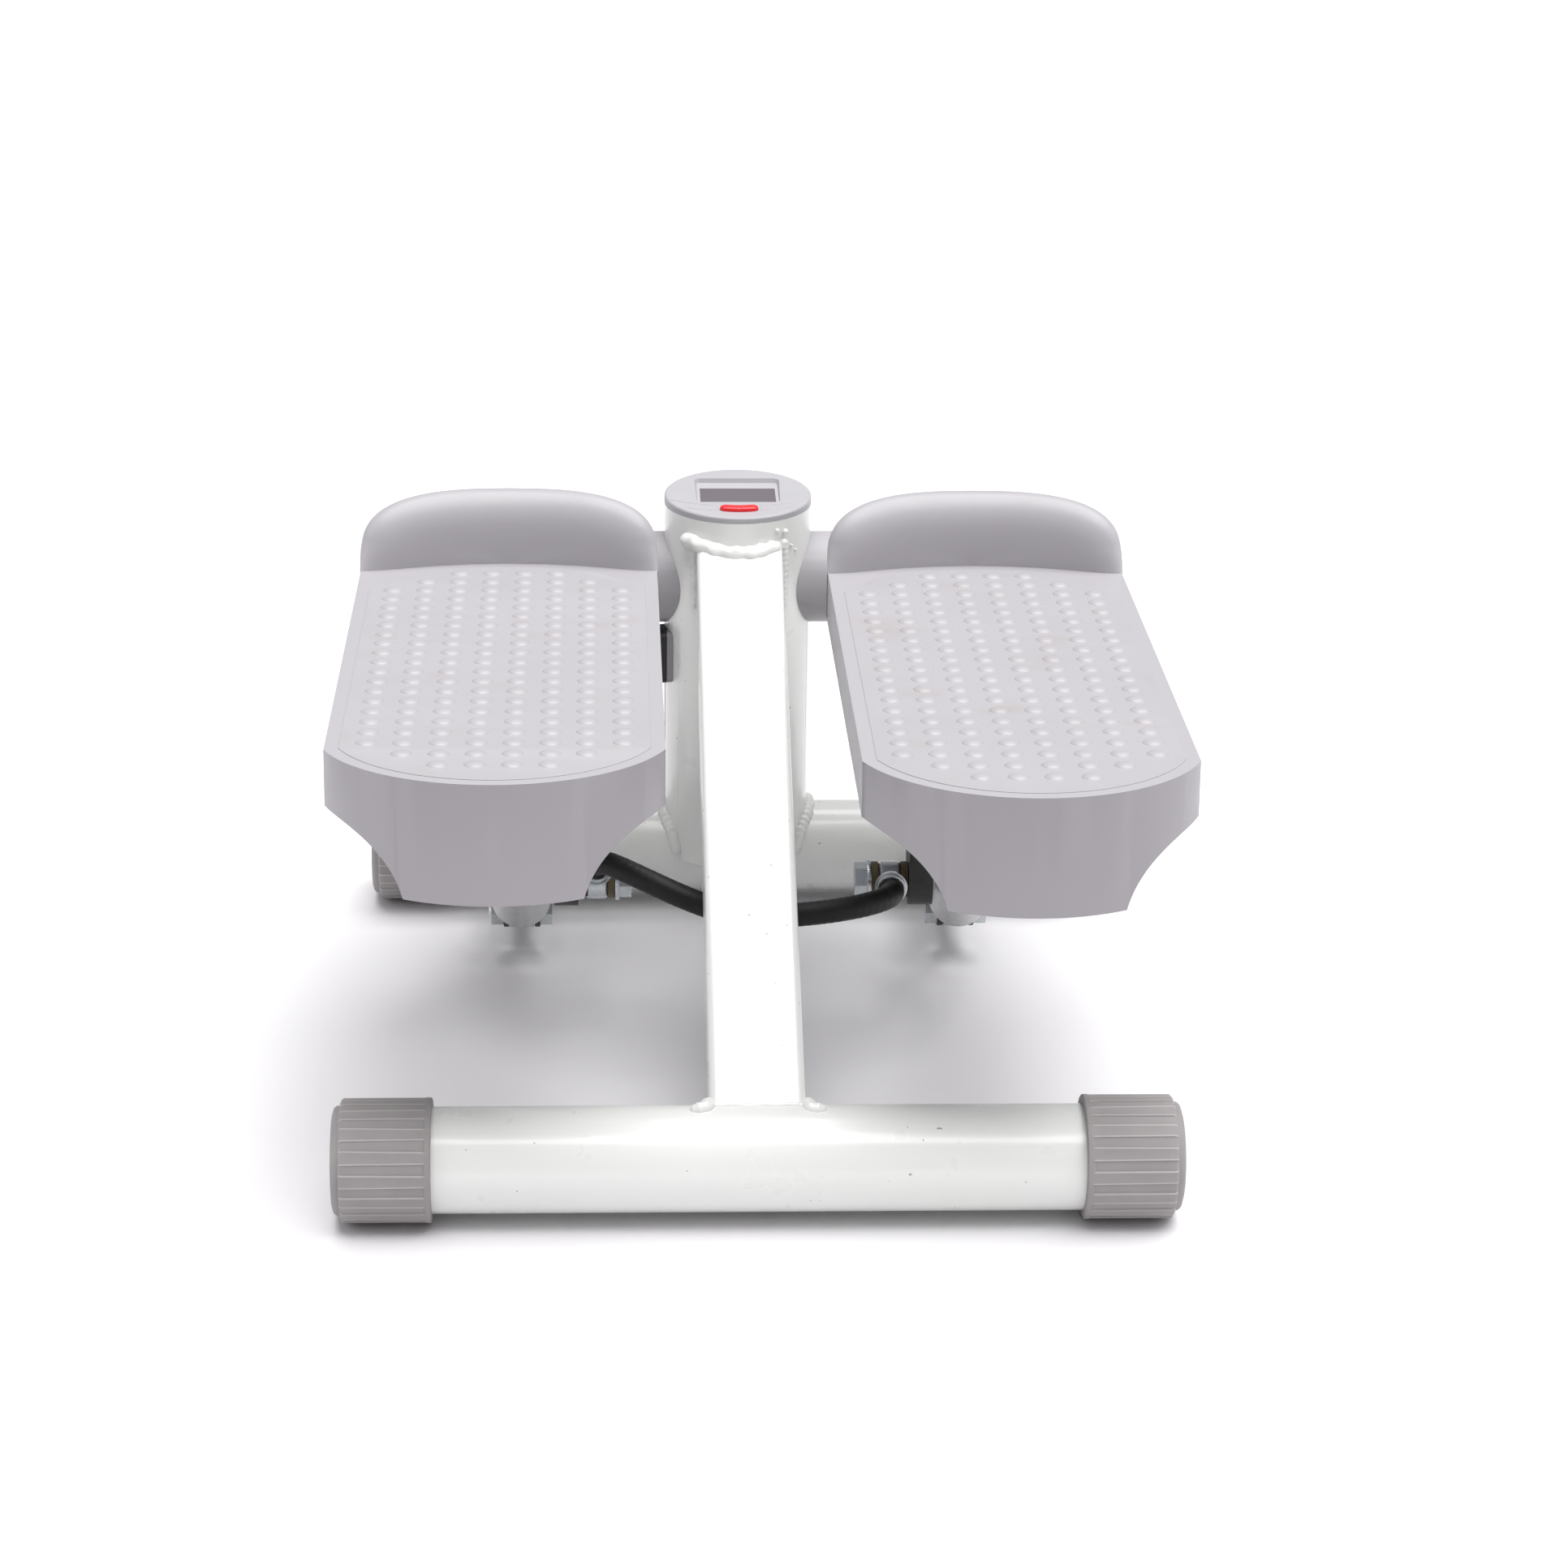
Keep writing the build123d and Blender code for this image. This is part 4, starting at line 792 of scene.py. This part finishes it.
def foot_cap(name, seed):
    """Moulded rubber cap: shallow ribs with thin raised edges that run slightly askew, a lip and a disc."""
    low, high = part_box(name)
    middle = (low + high) / 2
    outer_end = high.x if middle.x > 0 else low.x
    inner_end = low.x if middle.x > 0 else high.x
    direction = math.copysign(1.0, outer_end - inner_end)
    length = abs(outer_end - inner_end) - 3.5 * MM
    rng = np.random.default_rng(seed)
    skews = rng.uniform(-1.3, 1.3, CAP_BANDS)
    flash = rng.uniform(0.06, 0.16, CAP_BANDS)
    full_r, ground = 24.55 * MM, 24.3 * MM
    rib = 0.42 * MM
    stations = [    # (distance from the inner end, radius, whether the ribs show)
        (0.0, TUBE_R, 0), (0.0, full_r - 0.5 * MM, 0), (0.4 * MM, full_r, 0), (2.2 * MM, full_r, 0),
        (2.9 * MM, ground, 1),
    ]
    stations += [(2.9 * MM + (length - 4.2 * MM) * k / 8, ground, 1) for k in range(1, 9)]
    stations += [
        (length - 0.5 * MM, ground - 0.5 * MM, 1), (length, ground - 1.4 * MM, 0), (length, 21.6 * MM, 0),
        (length + 1.6 * MM, 21.4 * MM, 0), (length + 2.6 * MM, 20.6 * MM, 0),
        (length + 3.2 * MM, 18.6 * MM, 0), (length + 3.5 * MM, 13.0 * MM, 0),
        (length + 3.5 * MM, 0.5 * MM, 0),
    ]
    vertices, faces, edge_highlight = [], [], []
    for along, radius, ribbed in stations:
        share = along / length - 0.5
        for band in range(CAP_BANDS):
            raised = band % 2
            edge = 2 * math.pi * band / CAP_BANDS + math.radians(skews[band] * share)
            heights = (
                (-0.42, -rib * raised), (-0.14, flash[band] * MM), (0.14, flash[band] * MM),
                (0.42, -rib * (1 - raised)), (2.4, -rib * (1 - raised)),
            )
            for offset, height in heights:
                angle = edge + offset * MM / full_r
                r = radius + (height if ribbed else 0.0)
                vertices.append((
                    inner_end + direction * along,
                    middle.y + r * math.cos(angle), middle.z + r * math.sin(angle),
                ))
                # Marks the rib edges, where the rubber shader paints a highlight.
                edge_highlight.append(1.0 if ribbed and abs(offset) < 0.2 else 0.0)
    count = CAP_BANDS * 5
    for station in range(len(stations) - 1):
        for k in range(count):
            a = station * count + k
            b = station * count + (k + 1) % count
            faces.append((a, b, b + count, a + count))
    last = (len(stations) - 1) * count
    faces.append(tuple(range(count)))
    faces.append(tuple(last + k for k in reversed(range(count))))
    piece = new_piece(name.replace("foot_cap", "cap_sleeve"), vertices, faces, "cap_rubber", "frame")
    face_outwards(piece.data)
    piece.data.attributes.new("rib_edge_highlight", "FLOAT", "POINT").data.foreach_set("value", edge_highlight)
    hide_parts(name)


# ---- CAD nodes that keep their shape ----
ROUNDING = {    # edge radius in mm by slot
    "cap_rubber": 0.5, "white_paint": 0.35, "cover_plastic": 0.6, "zinc": 0.25, "pad_plastic": 0.12,
    "console_plastic": 0.3, "button_red": 0.35, "black_paint": 0.5, "barrel_paint": 0.3, "nylon": 0.3,
    "sensor_black": 0.3, "bush_brown": 0.25,
}
OTHER_ROUNDING = 0.15
PAD_SWELL = 0.42 * MM    # closes the seam round each pad to a faint line


def dress_cad_nodes():
    slots = {part["node"]: part["material_slot"] for part in frame["record"]["subparts"]}
    for name, node in NODES.items():
        slot = slots[name]
        dress(node, slot)
        drop_cad_normals(node.data)
        swell = PAD_SWELL if slot == "pad_plastic" else 0.0
        soften(node, ROUNDING.get(slot, OTHER_ROUNDING) * MM, swell=swell)


# ---- Stage, light and camera ----
FLOOR_HALF = 14.0
AMBIENT, BACKDROP = 0.38, 1.1    # the world's strength as light, and as the camera sees it
OVERHEAD_POWER, SOFTBOX_POWER = 4.25, 4.0
OVERHEAD_SPREAD = math.radians(62)
PITCH, YAW, ROLL = math.radians(21.424), math.radians(2.539), math.radians(-0.802)
FOCAL_LENGTH = 99.06                          # on a 36 mm sensor
CAMERA_PLACE = (-0.0594, -1.5234, 0.7809)    # the second counts from the rear floor tube


def make_stage():
    floor_mesh = bpy.data.meshes.new("floor")
    corners = [(-FLOOR_HALF, -FLOOR_HALF, 0), (FLOOR_HALF, -FLOOR_HALF, 0)]
    corners += [(FLOOR_HALF, FLOOR_HALF, 0), (-FLOOR_HALF, FLOOR_HALF, 0)]
    floor_mesh.from_pydata(corners, [], [(0, 1, 2, 3)])
    floor = bpy.data.objects.new("floor", floor_mesh)
    bpy.context.scene.collection.objects.link(floor)
    shader = Shader("floor", (0.86, 0.85, 0.865), 0.75)
    shader.roughen(shader.noise(0.2), 0.1)
    floor.data.materials.append(shader.finish(Specular_IOR_Level=0.2))


def lamp(name, kind, power, direction, place=(0, 0, 0)):
    data = bpy.data.lights.new(name, kind)
    data.energy = power
    made = bpy.data.objects.new(name, data)
    made.location = place
    made.rotation_euler = Vector(direction).to_track_quat("-Z", "Y").to_euler()
    bpy.context.scene.collection.objects.link(made)
    return data


def make_light():
    world = bpy.data.worlds.new("studio")
    world.use_nodes = True
    background = world.node_tree.nodes["Background"]
    background.inputs["Color"].default_value = (0.985, 0.975, 1.0, 1.0)
    seen = world.node_tree.nodes.new("ShaderNodeLightPath").outputs["Is Camera Ray"]
    strength = world.node_tree.nodes.new("ShaderNodeMapRange")
    strength.inputs["To Min"].default_value = AMBIENT
    strength.inputs["To Max"].default_value = BACKDROP
    world.node_tree.links.new(seen, strength.inputs["Value"])
    world.node_tree.links.new(strength.outputs["Result"], background.inputs["Strength"])
    bpy.context.scene.world = world
    lamp("overhead", "SUN", OVERHEAD_POWER, (-0.16, 0.02, -1.0)).angle = OVERHEAD_SPREAD
    target = Vector((0, 0, 0.1))
    for name, place in (("left_softbox", (-1.7, -0.5, 1.1)), ("right_softbox", (1.7, -0.3, 1.1))):
        box = lamp(name, "AREA", SOFTBOX_POWER, target - Vector(place), place)
        box.shape = "RECTANGLE"
        box.size, box.size_y = 1.0, 1.2
    settings = bpy.context.scene.view_settings
    settings.view_transform = "Standard"
    settings.exposure = 0.0


def make_camera():
    """The user's view from behind the heels, looking down a little."""
    data = bpy.data.cameras.new("camera")
    data.sensor_width = 36.0
    data.lens = FOCAL_LENGTH
    camera = bpy.data.objects.new("camera", data)
    level = math.cos(PITCH)
    forward = Vector((math.sin(YAW) * level, math.cos(YAW) * level, -math.sin(PITCH)))
    right = Vector((math.cos(YAW), -math.sin(YAW), 0))
    down = forward.cross(right)
    turned_right = right * math.cos(ROLL) + down * math.sin(ROLL)
    turned_up = right * math.sin(ROLL) - down * math.cos(ROLL)
    rotation = Matrix((turned_right, turned_up, -forward)).transposed()
    place = Vector(CAMERA_PLACE) + Vector((0, centre("rear_cross_tube").y, 0))
    camera.matrix_world = Matrix.Translation(place) @ rotation.to_4x4()
    bpy.context.scene.collection.objects.link(camera)
    bpy.context.scene.camera = camera


dress_cad_nodes()
for side in SIDES:
    pedal_body(side)
    toe_guard(side)
    tread_bumps(side)
    rope(side)
weld_pieces()
console_trim()
for seed, end in enumerate(("rear_left", "rear_right", "front_left", "front_right")):
    foot_cap(f"foot_cap_{end}", seed)
make_stage()
make_light()
make_camera()
